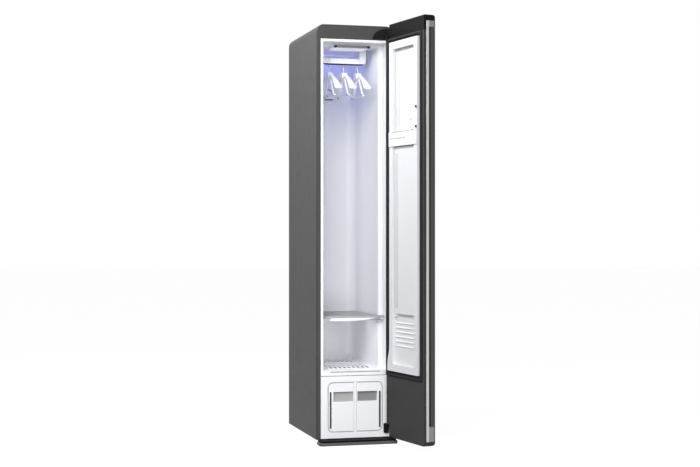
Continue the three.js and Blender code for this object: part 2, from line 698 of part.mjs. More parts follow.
// Hollow plate: a full-width part in front of the body and a narrower plinth under it
function floorPlate() {
  const x = [LEFT, RIGHT];
  const frontY = [FRONT - PLATE_REACH, FRONT];
  const top = PLATE_HEIGHT - FIT;
  const plinthX = grown(x, -PLINTH_INSET);
  const plinthY = [middle(frontY), BACK - PLINTH_INSET];
  const plate = fused(
    prismZ(roundedRectangle(x, frontY, PLATE_CORNER), [0, top]),
    block(plinthX, plinthY, [0, top]),
  );
  const wellX = grown(plinthX, -PLATE_WALL);
  const well = block(wellX, [FRONT + PLATE_WALL, plinthY[1] - PLATE_WALL], [PLATE_WALL, top + OVERRUN]);
  const closedZ = [PLATE_WALL, top - PLATE_WALL];
  const frontWell = block(grown(x, -PLATE_CORNER), grown(frontY, -PLATE_WALL), closedZ);
  const passage = block(wellX, [plinthY[0], FRONT + PLATE_WALL + OVERRUN], closedZ);
  return carved(plate, well, frontWell, passage);
}

function basePan() {
  const x = aroundZero(INSIDE - FIT);
  const y = [FRONT + FRAME_DEPTH + FIT, BACK - BACK_SHEET - FIT];
  const tray = block(x, y, [PLATE_HEIGHT, PAN_TOP + PAN_RIM]);
  const inside = block(grown(x, -PAN_SHEET), grown(y, -PAN_SHEET), [PAN_TOP, PAN_TOP + PAN_RIM + OVERRUN]);
  return carved(tray, inside);
}

// Side and top sheet of the body, open at the front, back and bottom
function outerCase() {
  const outside = archShape(RIGHT, PLATE_HEIGHT, TOTAL_HEIGHT, CASE_CORNER);
  const inside = archShape(INSIDE, PLATE_HEIGHT - OVERRUN, TOTAL_HEIGHT - CASE_WALL, CASE_CORNER - CASE_WALL);
  return carved(prismY(outside, [FRONT, BACK]), prismY(inside, grown([FRONT, BACK], OVERRUN)));
}

function insideArch(bottom) {
  const corner = CASE_CORNER - CASE_WALL - FIT;
  return archShape(INSIDE - FIT, bottom, TOTAL_HEIGHT - CASE_WALL - FIT, corner);
}

function frontFrame() {
  const y = [FRONT, FRONT + FRAME_DEPTH];
  const opening = block(
    aroundZero(FRAME_INSIDE),
    grown(y, OVERRUN),
    [PLATE_HEIGHT - OVERRUN, FRAME_INSIDE_TOP],
  );
  return carved(prismY(insideArch(PLATE_HEIGHT), y), opening);
}

function backPanel() {
  const y = [BACK - BACK_SHEET, BACK];
  const cutY = grown(y, OVERRUN);
  const x = [VENT_CENTRE_X - half(VENT_WIDTH), VENT_CENTRE_X + half(VENT_WIDTH)];
  const cuts = [rodY(GLAND_RADIUS + FIT, cutY, GLAND_X, GLAND_Z)];
  for (let i = 0; i < VENT_COUNT; i += 1) {
    const z = VENT_BOTTOM + i * VENT_PITCH;
    cuts.push(block(x, cutY, [z, z + VENT_HEIGHT]));
  }
  return carved(prismY(insideArch(PLATE_HEIGHT), y), ...cuts);
}

function powerInlet() {
  const profile = [
    [GLAND_BORE, BACK - BACK_SHEET - GLAND_INSIDE],
    [GLAND_RADIUS, BACK - BACK_SHEET - GLAND_INSIDE],
    [GLAND_RADIUS, BACK + FIT],
    [GLAND_FLANGE_RADIUS, BACK + FIT],
    [GLAND_FLANGE_RADIUS, BACK + GLAND_FLANGE],
    [GLAND_RADIUS, BACK + GLAND_OUTSIDE],
    [GLAND_BORE, BACK + GLAND_OUTSIDE],
    [GLAND_BORE, BACK - BACK_SHEET - GLAND_INSIDE],
  ];
  return turnedY(profile, SMALL_SIDES, GLAND_X, GLAND_Z);
}

// Plan of the chamber: a wide mouth, a sloping step and a narrower room with round back corners
function chamberPlan(grow, front) {
  const mouth = MOUTH_HALF + grow;
  const room = CHAMBER_HALF + grow;
  const corner = CHAMBER_CORNER + grow;
  const back = CHAMBER_BACK_Y + grow;
  const stepFront = behindFront(MOUTH_STEP_FRONT) + grow;
  const stepBack = behindFront(MOUTH_STEP_BACK) + grow;
  const shape = new THREE.Shape();
  shape.moveTo(-mouth, front);
  shape.lineTo(mouth, front);
  shape.lineTo(mouth, stepFront);
  shape.lineTo(room, stepBack);
  shape.absarc(room - corner, back - corner, corner, 0, Math.PI / 2, false);
  shape.absarc(corner - room, back - corner, corner, Math.PI / 2, Math.PI, false);
  shape.lineTo(-room, stepBack);
  shape.lineTo(-mouth, stepFront);
  shape.closePath();
  return shape;
}

function lampRanges(border) {
  const y = [behindFront(LAMP_FRONT), behindFront(LAMP_FRONT + LAMP_DEPTH)];
  return { x: grown(aroundZero(LAMP_HALF), -border), y: grown(y, -border) };
}

// Slots through which the hanger bar's two arms pass and slide
function armSlots(z) {
  const y = grown(aroundZero(half(BAR_DEPTH)), SLIDE_GAP).map((place) => BAR_CENTRE + place);
  const x = grown([BAR_HALF - BAR_ARM, BAR_HALF], BAR_TRAVEL + SLIDE_GAP);
  return [-1, 1].map((side) => block(mirrored(x, side), y, z));
}

function grilleY(front, back) {
  return [behindFront(front), behindFront(back)];
}

// White shell around the whole chamber, from which its moulded pieces are cut
function linerShell() {
  const flangeX = aroundZero(FRAME_INSIDE - FIT);
  const flangeZ = [PANEL_TOP + FIT, FRAME_INSIDE_TOP - FIT];
  const flange = block(flangeX, [FRONT, FRONT + LINER_FLANGE_SHEET], flangeZ);
  const room = prismZ(chamberPlan(LINER_WALL, FRONT), [FLOOR_Z - LINER_WALL, LINER_TOP]);
  const mouthY = [FRONT, behindFront(MOUTH_STEP_FRONT)];
  const mouthTop = block(
    aroundZero(MOUTH_HALF + LINER_WALL),
    [mouthY[0], mouthY[1] + LINER_WALL],
    [CEILING_Z, MOUTH_CEILING + LINER_WALL],
  );
  const inside = prismZ(chamberPlan(0, FRONT - OVERRUN), [FLOOR_Z, CEILING_Z]);
  const insideTop = block(
    aroundZero(MOUTH_HALF),
    [mouthY[0] - OVERRUN, mouthY[1]],
    [CEILING_Z - OVERRUN, MOUTH_CEILING],
  );
  const slit = block(
    aroundZero(LIP_SLIT_HALF),
    [FRONT - OVERRUN, FRONT + LIP_SLIT_DEPTH],
    [LIP_SLIT_Z, LIP_SLIT_Z + LIP_SLIT_HEIGHT],
  );
  const ceilingCut = grown([CEILING_Z, LINER_TOP], OVERRUN);
  const floorCut = grown([FLOOR_Z - LINER_WALL, FLOOR_Z], OVERRUN);
  const lens = lampRanges(LAMP_BEZEL);
  const lampHole = prismZ(roundedRectangle(lens.x, lens.y, LAMP_CORNER - LAMP_BEZEL), ceilingCut);
  const grilleX = aroundZero(GRILLE_HALF - GRILLE_LEDGE);
  const filterY = grown(grilleY(FRONT_GRILLE_FRONT, FRONT_GRILLE_BACK), -GRILLE_LEDGE);
  const rearY = grown(grilleY(REAR_GRILLE_FRONT, REAR_GRILLE_BACK), -GRILLE_LEDGE);
  const grilleHoles = [filterY, rearY].map((y) => block(grilleX, y, floorCut));
  const steamHole = rodZ(STEAM_PIPE_RADIUS + FIT, floorCut, STEAM_X, behindFront(STEAM_Y));
  return carved(
    fused(flange, room, mouthTop),
    inside,
    insideTop,
    slit,
    lampHole,
    ...grilleHoles,
    steamHole,
    ...armSlots(ceilingCut),
  );
}

// The chamber's pieces meet with a small gap behind the step of its mouth and around its edges
function linerPieces() {
  const shell = linerShell();
  const outer = CHAMBER_HALF + LINER_WALL + OVERRUN;
  const back = CHAMBER_BACK_Y + LINER_WALL + OVERRUN;
  const seam = behindFront(MOUTH_STEP_BACK) + LINER_WALL;
  const cornerStart = CHAMBER_BACK_Y - CHAMBER_CORNER;
  const wallZ = [FLOOR_Z + FIT, CEILING_Z - FIT];
  const wallX = [CHAMBER_HALF - OVERRUN, outer];
  const wallY = [seam + FIT, cornerStart];
  const plateY = [seam + FIT, back];
  const collarX = aroundZero(FRAME_INSIDE);
  const collarZ = [PANEL_TOP, FRAME_INSIDE_TOP];
  return {
    liner_collar: kept(shell, block(collarX, [FRONT - OVERRUN, seam], collarZ)),
    liner_left: kept(shell, block(mirrored(wallX, -1), wallY, wallZ)),
    liner_right: kept(shell, block(wallX, wallY, wallZ)),
    liner_back: kept(shell, block(aroundZero(outer), [cornerStart + FIT, back], wallZ)),
    liner_ceiling: kept(shell, block(aroundZero(outer), plateY, [CEILING_Z, LINER_TOP + OVERRUN])),
    liner_floor: kept(shell, block(aroundZero(outer), plateY, [FLOOR_Z - LINER_WALL - OVERRUN, FLOOR_Z])),
  };
}

function lampBezel() {
  const outer = lampRanges(0);
  const inner = lampRanges(LAMP_BEZEL);
  const z = [CEILING_Z - LAMP_DROP, CEILING_Z - FIT];
  return carved(
    prismZ(roundedRectangle(outer.x, outer.y, LAMP_CORNER), z),
    prismZ(roundedRectangle(inner.x, inner.y, LAMP_CORNER - LAMP_BEZEL), grown(z, OVERRUN)),
  );
}

function lampLens() {
  const lens = lampRanges(LAMP_BEZEL + FIT);
  const bottom = CEILING_Z - LAMP_DROP + half(FIT);
  const shape = roundedRectangle(lens.x, lens.y, LAMP_CORNER - LAMP_BEZEL - FIT);
  return prismZ(shape, [bottom, bottom + LAMP_LENS_HEIGHT]);
}

function blueLamp() {
  const y = [behindFront(BLUE_LAMP_Y), behindFront(BLUE_LAMP_Y + BLUE_LAMP_DEPTH)];
  const shape = roundedRectangle(aroundZero(BLUE_LAMP_HALF), y, BLUE_LAMP_CORNER);
  return prismZ(shape, [CEILING_Z - BLUE_LAMP_DROP, CEILING_Z - FIT]);
}

// Steel deck above the ceiling, with guides for the hanger bar and a bridge for the motor
function shakerFrame() {
  const y = [BAR_CENTRE - SHAKER_REACH, BAR_CENTRE + SHAKER_REACH];
  const deck = block(aroundZero(SHAKER_HALF), y, [SHAKER_FLOOR, SHAKER_DECK]);
  const bridgeX = aroundZero(SHAKER_BRIDGE_HALF);
  const legs = [
    block(bridgeX, [y[0], y[0] + SHAKER_SHEET], [SHAKER_FLOOR, BRIDGE_TOP]),
    block(bridgeX, [y[1] - SHAKER_SHEET, y[1]], [SHAKER_FLOOR, BRIDGE_TOP]),
  ];
  const bridge = block(bridgeX, y, [BRIDGE_TOP - SHAKER_SHEET, BRIDGE_TOP]);
  const guideGap = half(BAR_DEPTH) + half(SLIDE_GAP);
  const guides = [];
  for (const side of [-1, 1]) {
    const guideX = mirrored([SHAKER_GUIDE_START, SHAKER_GUIDE_END], side);
    for (const face of [-1, 1]) {
      const reach = mirrored([guideGap, guideGap + SHAKER_GUIDE], face);
      const guideY = reach.map((place) => BAR_CENTRE + place);
      guides.push(block(guideX, guideY, [SHAKER_FLOOR, SHAKER_DECK + SHAKER_GUIDE_HEIGHT]));
    }
  }
  const shaftHole = rodZ(SHAKER_BRIDGE_HOLE, [CRANK_BOTTOM, BRIDGE_TOP + OVERRUN], 0, BAR_CENTRE);
  const slots = armSlots(grown([SHAKER_FLOOR, SHAKER_DECK], OVERRUN));
  return carved(fused(deck, ...legs, bridge, ...guides), shaftHole, ...slots);
}

function shakerMotor() {
  const bottom = BRIDGE_TOP + FIT;
  const top = bottom + SHAKER_MOTOR_HEIGHT;
  const boreTop = CRANK_BOTTOM + CRANK_SHEET + CRANK_SHAFT_LENGTH + SLIDE_GAP;
  const bore = CRANK_SHAFT_RADIUS + SHAFT_CLEARANCE;
  const profile = [
    [0, boreTop],
    [bore, boreTop],
    [bore, bottom],
    [SHAKER_MOTOR_RADIUS, bottom],
    [SHAKER_MOTOR_RADIUS, top],
    [0, top],
  ];
  return turnedZ(profile, ROUND_SIDES, 0, BAR_CENTRE);
}

function shakerCrank() {
  const top = CRANK_BOTTOM + CRANK_SHEET;
  const shaftTop = top + CRANK_SHAFT_LENGTH;
  const profile = [
    [0, CRANK_BOTTOM],
    [CRANK_RADIUS, CRANK_BOTTOM],
    [CRANK_RADIUS, top],
    [CRANK_SHAFT_RADIUS, top],
    [CRANK_SHAFT_RADIUS, shaftTop],
    [0, shaftTop],
  ];
  const disc = turnedZ(profile, ROUND_SIDES, 0, BAR_CENTRE);
  const pinZ = [CRANK_BOTTOM - CRANK_PIN_LENGTH, top - half(CRANK_SHEET)];
  return fused(disc, rodZ(CRANK_PIN_RADIUS, pinZ, 0, BAR_CENTRE + BAR_TRAVEL));
}

// The bar's outline seen from the front, with round lower corners
function barOutline(reach, bottom, top, corner) {
  const shape = new THREE.Shape();
  shape.moveTo(reach, top);
  shape.lineTo(-reach, top);
  shape.absarc(corner - reach, bottom + corner, corner, Math.PI, 1.5 * Math.PI, false);
  shape.absarc(reach - corner, bottom + corner, corner, 1.5 * Math.PI, 2 * Math.PI, false);
  shape.closePath();
  return shape;
}

function hangerPlaces(count, pitch) {
  return Array.from({ length: count }, (unused, i) => (i - half(count - 1)) * pitch);
}

function hookNotches(y) {
  return hangerPlaces(HOOK_NOTCH_COUNT, half(HANGER_PITCH)).map((x) =>
    block([x - half(HOOK_NOTCH), x + half(HOOK_NOTCH)], y, [HOOK_SEAT, BAR_TOP + OVERRUN]),
  );
}

// Dark core of the bar: a closed ring whose top cross piece slides on the deck above the ceiling
function hangerBar() {
  const y = [BAR_CENTRE - half(BAR_DEPTH), BAR_CENTRE + half(BAR_DEPTH)];
  const inner = barOutline(BAR_HALF - BAR_ARM, BAR_SHOULDER, CROSS_BOTTOM, BAR_CORNER - BAR_ARM);
  const ring = carved(
    prismY(barOutline(BAR_HALF, BAR_BOTTOM, CROSS_TOP, BAR_CORNER), y),
    prismY(inner, grown(y, OVERRUN)),
  );
  const ribY = [BAR_CENTRE - half(BAR_RIB), BAR_CENTRE + half(BAR_RIB)];
  const rib = block(aroundZero(BAR_RIB_HALF), ribY, [BAR_SHOULDER - OVERRUN, BAR_TOP]);
  const yokeY = [BAR_CENTRE - YOKE_REACH, BAR_CENTRE + YOKE_REACH];
  const yoke = block(aroundZero(YOKE_HALF), yokeY, [CROSS_TOP - YOKE_SHEET, CROSS_TOP]);
  const slotY = [BAR_CENTRE - YOKE_SLOT_REACH, BAR_CENTRE + YOKE_SLOT_REACH];
  const slotHalf = CRANK_PIN_RADIUS + CRANK_PIN_GAP;
  const slot = block(aroundZero(slotHalf), slotY, [CROSS_TOP - YOKE_SHEET - OVERRUN, CROSS_TOP + OVERRUN]);
  return carved(fused(ring, rib, yoke), slot, ...hookNotches(grown(ribY, OVERRUN)));
}

// White shell on the front of the bar
function hangerBarCover() {
  const back = BAR_CENTRE - half(BAR_DEPTH) - FIT;
  const y = [back - COVER_SHEET, back];
  const bottom = BAR_BOTTOM + COVER_RISE;
  const reach = BAR_HALF - half(COVER_RISE);
  const top = CEILING_Z - FIT;
  const inner = barOutline(BAR_HALF - BAR_ARM, BAR_SHOULDER, top + OVERRUN, BAR_CORNER - BAR_ARM);
  return carved(
    prismY(barOutline(reach, bottom, top, BAR_CORNER - half(COVER_RISE)), y),
    prismY(inner, grown(y, OVERRUN)),
  );
}

// One ring of eight points around a shoulder, as shares of its width and height
const SHOULDER_SECTION_SHARES = [
  [0, 0.5],
  [-0.3, 0.42],
  [-0.5, 0],
  [-0.42, -0.5],
  [0, -0.3],
  [0.42, -0.5],
  [0.5, 0],
  [0.3, 0.42],
];
const HANGER_CURVE_SHARE = 0.18; // how far the shoulder line bows above a straight one

function shoulderStation(share) {
  const along = Math.abs(share);
  const bow = HANGER_CURVE_SHARE * Math.sin(Math.PI * along);
  return {
    y: share * HANGER_HALF,
    z: -(along - bow) * HANGER_SHOULDER_FALL,
    width: HANGER_NECK_WIDTH + (HANGER_TIP_WIDTH - HANGER_NECK_WIDTH) * along ** HANGER_FLARE_POWER,
    height: HANGER_NECK_HEIGHT + (HANGER_TIP_HEIGHT - HANGER_NECK_HEIGHT) * along,
  };
}

function shoulders() {
  const positions = [];
  const indices = [];
  const size = SHOULDER_SECTION_SHARES.length;
  const last = 2 * HANGER_STATIONS;
  for (let i = 0; i <= last; i += 1) {
    const station = shoulderStation((i - HANGER_STATIONS) / HANGER_STATIONS);
    for (const [across, up] of SHOULDER_SECTION_SHARES) {
      positions.push(across * station.width, station.y, station.z + up * station.height);
    }
  }
  for (let i = 0; i < last; i += 1) {
    for (let j = 0; j < size; j += 1) {
      const next = (j + 1) % size;
      const a = i * size + j;
      const b = i * size + next;
      indices.push(a, a + size, b, b, a + size, b + size);
    }
  }
  // Each end is closed in strips, because its section is hollow below
  const strips = [[0, 1, 7], [1, 2, 3], [1, 3, 4], [1, 4, 7], [7, 4, 5], [7, 5, 6]];
  for (const [p, q, r] of strips) {
    indices.push(p, q, r);
    const far = last * size;
    indices.push(far + p, far + r, far + q);
  }
  const geometry = new THREE.BufferGeometry();
  geometry.setAttribute('position', new THREE.Float32BufferAttribute(positions, 3));
  geometry.setIndex(indices);
  return geometry;
}

// Hanger body around its own origin, at the top of its head
function hangerBody() {
  const widthX = aroundZero(half(HANGER_NECK_WIDTH));
  const headShape = roundedRectangle(
    aroundZero(HANGER_HEAD_HALF),
    [-HANGER_HEAD_HEIGHT, 0],
    half(HANGER_HEAD_HALF),
  );
  const head = prismX(headShape, widthX);
  const arms = shoulders().translate(0, 0, -half(HANGER_HEAD_HEIGHT));
  const strutX = aroundZero(half(HANGER_STRUT));
  const strutTop = -HANGER_HEAD_HEIGHT + half(HANGER_STRUT);
  const struts = [-1, 1].map((side) => {
    const shape = outline([
      [side * (HANGER_STRUT_TOP_HALF - HANGER_STRUT), strutTop],
      [side * HANGER_STRUT_TOP_HALF, strutTop],
      [side * (HANGER_STRUT_BOTTOM_HALF + HANGER_STRUT), -HANGER_BAR_DROP],
      [side * HANGER_STRUT_BOTTOM_HALF, -HANGER_BAR_DROP],
    ]);
    return prismX(shape, strutX);
  });
  const bar = rodY(HANGER_BAR_RADIUS, aroundZero(HANGER_BAR_HALF), 0, -HANGER_BAR_DROP);
  const seat = rodZ(HOOK_WIRE_RADIUS + FIT, [-HOOK_SEAT_DEPTH, OVERRUN], 0, 0);
  return carved(fused(head, arms, ...struts, bar), seat);
}

// Hook around its own origin, at the seat where it hangs on the bar
function hangerHook() {
  const middleZ = -(HOOK_RADIUS - HOOK_WIRE_RADIUS - FIT);
  const stemBottom = -HANGER_HEAD_DROP - HOOK_SEAT_DEPTH + FIT;
  const stemTop = middleZ - HOOK_STEM_SHARE * HOOK_RADIUS;
  const path = new THREE.CurvePath();
  const start = new THREE.Vector3(0, 0, stemBottom);
  const bendStart = new THREE.Vector3(0, 0, stemTop);
  const arcPoint = (degrees) => {
    const angle = THREE.MathUtils.degToRad(degrees);
    return new THREE.Vector3(0, Math.cos(angle) * HOOK_RADIUS, middleZ + Math.sin(angle) * HOOK_RADIUS);
  };
  path.add(new THREE.LineCurve3(start, bendStart));
  const points = [bendStart];
  for (const degrees of HOOK_ARC_DEGREES) {
    points.push(arcPoint(degrees));
  }
  path.add(new THREE.CatmullRomCurve3(points));
  const section = new THREE.Shape();
  section.absarc(0, 0, HOOK_WIRE_RADIUS, 0, 2 * Math.PI, false);
  return new THREE.ExtrudeGeometry(section, {
    steps: HOOK_STEPS,
    extrudePath: path,
    curveSegments: HOOK_SIDES,
    bevelEnabled: false,
  });
}

function fragranceCase() {
  const back = CHAMBER_BACK_Y - FIT;
  const front = back - FRAGRANCE_DEPTH;
  const floor = back - FRAGRANCE_FLOOR;
  const inner = FRAGRANCE_RADIUS - FRAGRANCE_RIM;
  const pin = FRAGRANCE_PIN_RADIUS + FIT;
  const profile = [
    [0, back],
    [FRAGRANCE_RADIUS, back],
    [FRAGRANCE_RADIUS, front + FRAGRANCE_FLOOR],
    [FRAGRANCE_RADIUS - FRAGRANCE_FLOOR, front],
    [inner, front],
    [inner, floor],
    [pin, floor],
    [pin, back - half(FRAGRANCE_FLOOR)],
    [0, back - half(FRAGRANCE_FLOOR)],
  ];
  return turnedY(profile.reverse(), ROUND_SIDES, 0, FRAGRANCE_Z);
}

function fragranceCap() {
  const back = CHAMBER_BACK_Y - FIT - FRAGRANCE_DEPTH + FRAGRANCE_CAP_SHEET;
  const front = back - FRAGRANCE_CAP_SHEET;
  const pinEnd = CHAMBER_BACK_Y - FIT - half(FRAGRANCE_FLOOR) - FIT;
  // The corners of its many-sided edge pass the flats of the case's
  const radius = (FRAGRANCE_RADIUS - FRAGRANCE_RIM) * Math.cos(Math.PI / ROUND_SIDES) - FIT;
  const profile = [
    [0, front - FRAGRANCE_KNOB_HEIGHT],
    [FRAGRANCE_KNOB_RADIUS, front - FRAGRANCE_KNOB_HEIGHT],
    [FRAGRANCE_KNOB_RADIUS, front],
    [radius, front],
    [radius, back],
    [FRAGRANCE_PIN_RADIUS, back],
    [FRAGRANCE_PIN_RADIUS, pinEnd],
    [0, pinEnd],
  ];
  return turnedY(profile, ROUND_SIDES, 0, FRAGRANCE_Z);
}

// Openwork shelf with a closed head in the mouth, hollow from below
function shelf() {
  const x = aroundZero(SHELF_HALF);
  const y = grilleY(SHELF_FRONT, SHELF_BACK);
  const z = [SHELF_TOP - SHELF_EDGE, SHELF_TOP];
  const headY = grilleY(SHELF_FRONT, MOUTH_STEP_FRONT - SLIDE_GAP);
  const underHead = [z[0] - OVERRUN, SHELF_TOP - SHELF_SHEET];
  const head = carved(block(x, headY, z), block(grown(x, -SHELF_RIM), grown(headY, -SHELF_RIM), underHead));
  const innerX = grown(x, -SHELF_RIM);
  const innerY = [headY[1], y[1] - SHELF_RIM];
  const rim = carved(block(x, [headY[0] + SHELF_RIM, y[1]], z), block(innerX, innerY, grown(z, OVERRUN)));
  const sheetTop = SHELF_TOP - SHELF_SET_DOWN;
  const sheet = block(grown(innerX, half(FIT)), grown(innerY, half(FIT)), [sheetTop - SHELF_SHEET, sheetTop]);
  const pitch = length(innerY) / SHELF_SLOT_ROWS;
  const slots = [];
  for (let i = 0; i < SHELF_SLOT_ROWS; i += 1) {
    const centre = innerY[0] + (i + half(1)) * pitch;
    const slotY = [centre - half(SHELF_SLOT), centre + half(SHELF_SLOT)];
    for (const side of [-1, 1]) {
      const slotX = mirrored([half(SHELF_SPINE), innerX[1] - half(SHELF_RIM)], side);
      slots.push(block(slotX, slotY, grown([sheetTop - SHELF_SHEET, sheetTop], OVERRUN)));
    }
  }
  return carved(fused(head, rim, sheet), ...slots);
}

// White strip on the shelf's front, straight above, blunt on the left and drawn out on the right
function shelfApron() {
  const top = SHELF_TOP - APRON_DROP;
  const bottom = top - APRON_HEIGHT;
  const left = -APRON_HALF;
  const shape = new THREE.Shape();
  shape.moveTo(APRON_HALF, top);
  shape.lineTo(left + APRON_NOSE, top);
  shape.lineTo(left, bottom + half(APRON_NOSE));
  shape.quadraticCurveTo(left, bottom, left + APRON_NOSE, bottom);
  shape.lineTo(0, bottom);
  shape.quadraticCurveTo(half(APRON_HALF), bottom, APRON_HALF, top);
  shape.closePath();
  const back = behindFront(SHELF_FRONT) - FIT;
  return prismY(shape, [back - APRON_SHEET, back]);
}

// Ledge on the side walls that carries the shelf, with a shoulder that takes its front on to the mouth's wall
function shelfLedge(side) {
  const top = SHELF_TOP - SHELF_EDGE - FIT;
  const inner = CHAMBER_HALF - FIT - LEDGE_DEPTH;
  const flangeZ = [top - LEDGE_FLANGE_HEIGHT, top];
  const stepFront = behindFront(MOUTH_STEP_FRONT) - FIT;
  const parts = [
    [CHAMBER_HALF - FIT, grilleY(MOUTH_STEP_BACK + SLIDE_GAP, SHELF_BACK)],
    [MOUTH_HALF - FIT, [behindFront(SHELF_FRONT + LEDGE_SETBACK), stepFront]],
  ];
  const pieces = parts.flatMap(([wall, y]) => [
    block(mirrored([inner, wall], side), y, [top - LEDGE_SHEET, top]),
    block(mirrored([wall - LEDGE_FLANGE, wall], side), y, flangeZ),
  ]);
  const link = [stepFront - OVERRUN, behindFront(MOUTH_STEP_BACK + SLIDE_GAP) + OVERRUN];
  pieces.push(block(mirrored([inner, CHAMBER_HALF - FIT], side), link, [top - LEDGE_SHEET, top]));
  const shoulderX = mirrored([SHELF_HALF + SHOULDER_GAP, MOUTH_HALF - FIT], side);
  pieces.push(block(shoulderX, [behindFront(SHELF_FRONT), stepFront], [top - LEDGE_SHEET, SHELF_TOP]));
  return fused(...pieces);
}

// Leaning slots in rows that lean opposite ways
function grilleSlots(y, z) {
  const innerX = grown(aroundZero(GRILLE_HALF), -GRILLE_BORDER);
  const innerY = grown(y, -GRILLE_BORDER);
  const pitch = length(innerX) / GRILLE_COLUMNS;
  const rowDepth = length(innerY) / GRILLE_ROWS;
  const reach = half(rowDepth - GRILLE_BORDER);
  const slots = [];
  for (let row = 0; row < GRILLE_ROWS; row += 1) {
    const lean = row % 2 === 0 ? GRILLE_LEAN : -GRILLE_LEAN;
    const centreY = innerY[0] + (row + half(1)) * rowDepth;
    for (let i = 0; i < GRILLE_COLUMNS; i += 1) {
      const centreX = innerX[0] + (i + half(1)) * pitch;
      const shape = outline([
        [centreX - half(GRILLE_SLOT) - half(lean), centreY - reach],
        [centreX + half(GRILLE_SLOT) - half(lean), centreY - reach],
        [centreX + half(GRILLE_SLOT) + half(lean), centreY + reach],
        [centreX - half(GRILLE_SLOT) + half(lean), centreY + reach],
      ]);
      slots.push(prismZ(shape, grown(z, OVERRUN)));
    }
  }
  return slots;
}

function grillePlate(front, back) {
  const y = grilleY(front, back);
  const z = [FLOOR_Z + FIT, FLOOR_Z + FIT + GRILLE_SHEET];
  return carved(block(aroundZero(GRILLE_HALF), y, z), ...grilleSlots(y, z));
}

// Front grille with a skirt that holds the lint mesh and drops through the floor
function lintFilter() {
  const x = aroundZero(GRILLE_HALF - GRILLE_LEDGE - SLIDE_GAP);
  const y = grown(grilleY(FRONT_GRILLE_FRONT, FRONT_GRILLE_BACK), -GRILLE_LEDGE - SLIDE_GAP);
  const z = [FLOOR_Z - FILTER_SKIRT, FLOOR_Z + half(GRILLE_SHEET)];
  const skirt = carved(
    block(x, y, z),
    block(grown(x, -FILTER_WALL), grown(y, -FILTER_WALL), grown(z, OVERRUN)),
  );
  return fused(grillePlate(FRONT_GRILLE_FRONT, FRONT_GRILLE_BACK), skirt);
}

// One of the two tank fronts, with the outer corners round
function tankOutline(side, inset) {
  const inner = side * (TANK_POST_HALF + inset);
  const outer = side * (TANK_WINDOW_HALF - inset);
  const bottom = TANK_WINDOW_BOTTOM + inset;
  const top = TANK_WINDOW_TOP - inset;
  const corner = TANK_WINDOW_CORNER - inset;
  const shape = new THREE.Shape();
  shape.moveTo(inner, bottom);
  shape.lineTo(outer - side * corner, bottom);
  shape.quadraticCurveTo(outer, bottom, outer, bottom + corner);
  shape.lineTo(outer, top - corner);
  shape.quadraticCurveTo(outer, top, outer - side * corner, top);
  shape.lineTo(inner, top);
  shape.closePath();
  return shape;
}

function lowerPanel() {
  const x = aroundZero(FRAME_INSIDE - FIT);
  const y = [FRONT, FRONT + PANEL_SHEET];
  const groove = block(
    grown(x, OVERRUN),
    [FRONT - OVERRUN, FRONT + PANEL_GROOVE_DEPTH],
    [PANEL_GROOVE_Z, PANEL_GROOVE_Z + PANEL_GROOVE],
  );
  const windows = [-1, 1].map((side) => prismY(tankOutline(side, 0), grown(y, OVERRUN)));
  return carved(block(x, y, [PLATE_HEIGHT + FIT, PANEL_TOP]), groove, ...windows);
}

// Water tank with its front, finger grip and fill hole
function tank(side) {
  const face = prismY(tankOutline(side, TANK_FACE_GAP), [FRONT, FRONT + TANK_FACE]);
  const x = mirrored([TANK_INNER_X, TANK_OUTER_X], side);
  const z = [TANK_BOTTOM, TANK_TOP];
  const back = behindFront(TANK_DEPTH);
  const body = block(x, [FRONT + half(TANK_FACE), back], z);
  const gripX = mirrored([TANK_INNER_X + TANK_WALL, GRIP_OUTER_X], side);
  const grip = block(gripX, [FRONT - OVERRUN, FRONT + GRIP_DEPTH], [GRIP_BOTTOM, GRIP_TOP]);
  const lipY = [FRONT + GRIP_LIP, FRONT + GRIP_DEPTH];
  const underLip = block(gripX, lipY, [GRIP_TOP - OVERRUN, GRIP_TOP + GRIP_LIP_RISE]);
  const sightX = mirrored([SIGHT_SLOT_X - half(SIGHT_SLOT), SIGHT_SLOT_X + half(SIGHT_SLOT)], side);
  const sight = block(sightX, [FRONT - OVERRUN, FRONT + SIGHT_SLOT_DEPTH], [SIGHT_SLOT_BOTTOM, GRIP_TOP]);
  const water = block(
    grown(x, -TANK_WALL),
    [FRONT + GRIP_DEPTH + TANK_WALL, back - TANK_WALL],
    grown(z, -TANK_WALL),
  );
  const fill = rodZ(
    TANK_FILL_RADIUS,
    [TANK_TOP - TANK_WALL - OVERRUN, TANK_TOP + OVERRUN],
    middle(x),
    behindFront(TANK_FILL_Y),
    ROUND_SIDES,
  );
  return carved(fused(face, body), grip, underLip, sight, water, fill);
}

function tankBay() {
  const front = FRONT + PANEL_SHEET + FIT;
  const y = [front, behindFront(BAY_DEPTH)];
  const outerX = aroundZero(TANK_WINDOW_HALF + BAY_WALL);
  const shell = block(outerX, y, [BAY_BOTTOM, BAY_TOP]);
  const rooms = [];
  const ports = [];
  const runners = [];
  for (const side of [-1, 1]) {
    const x = mirrored([BAY_DIVIDER_HALF, TANK_WINDOW_HALF], side);
    rooms.push(block(x, [front - OVERRUN, y[1] - BAY_WALL], grown([BAY_BOTTOM, BAY_TOP], -BAY_WALL)));
    ports.push(rodY(BAY_PORT_RADIUS, grown([y[1] - BAY_WALL, y[1]], OVERRUN), middle(x), BAY_PORT_Z));
    const runnerX = mirrored([BAY_RUNNER_X, BAY_RUNNER_X + BAY_RUNNER_WIDTH], side);
    const runnerY = [behindFront(BAY_RUNNER_FRONT), y[1]];
    runners.push(block(runnerX, runnerY, [FLOOR_OF_PAN, BAY_BOTTOM + half(BAY_WALL)]));
  }
  return carved(fused(shell, ...runners), ...rooms, ...ports);
}

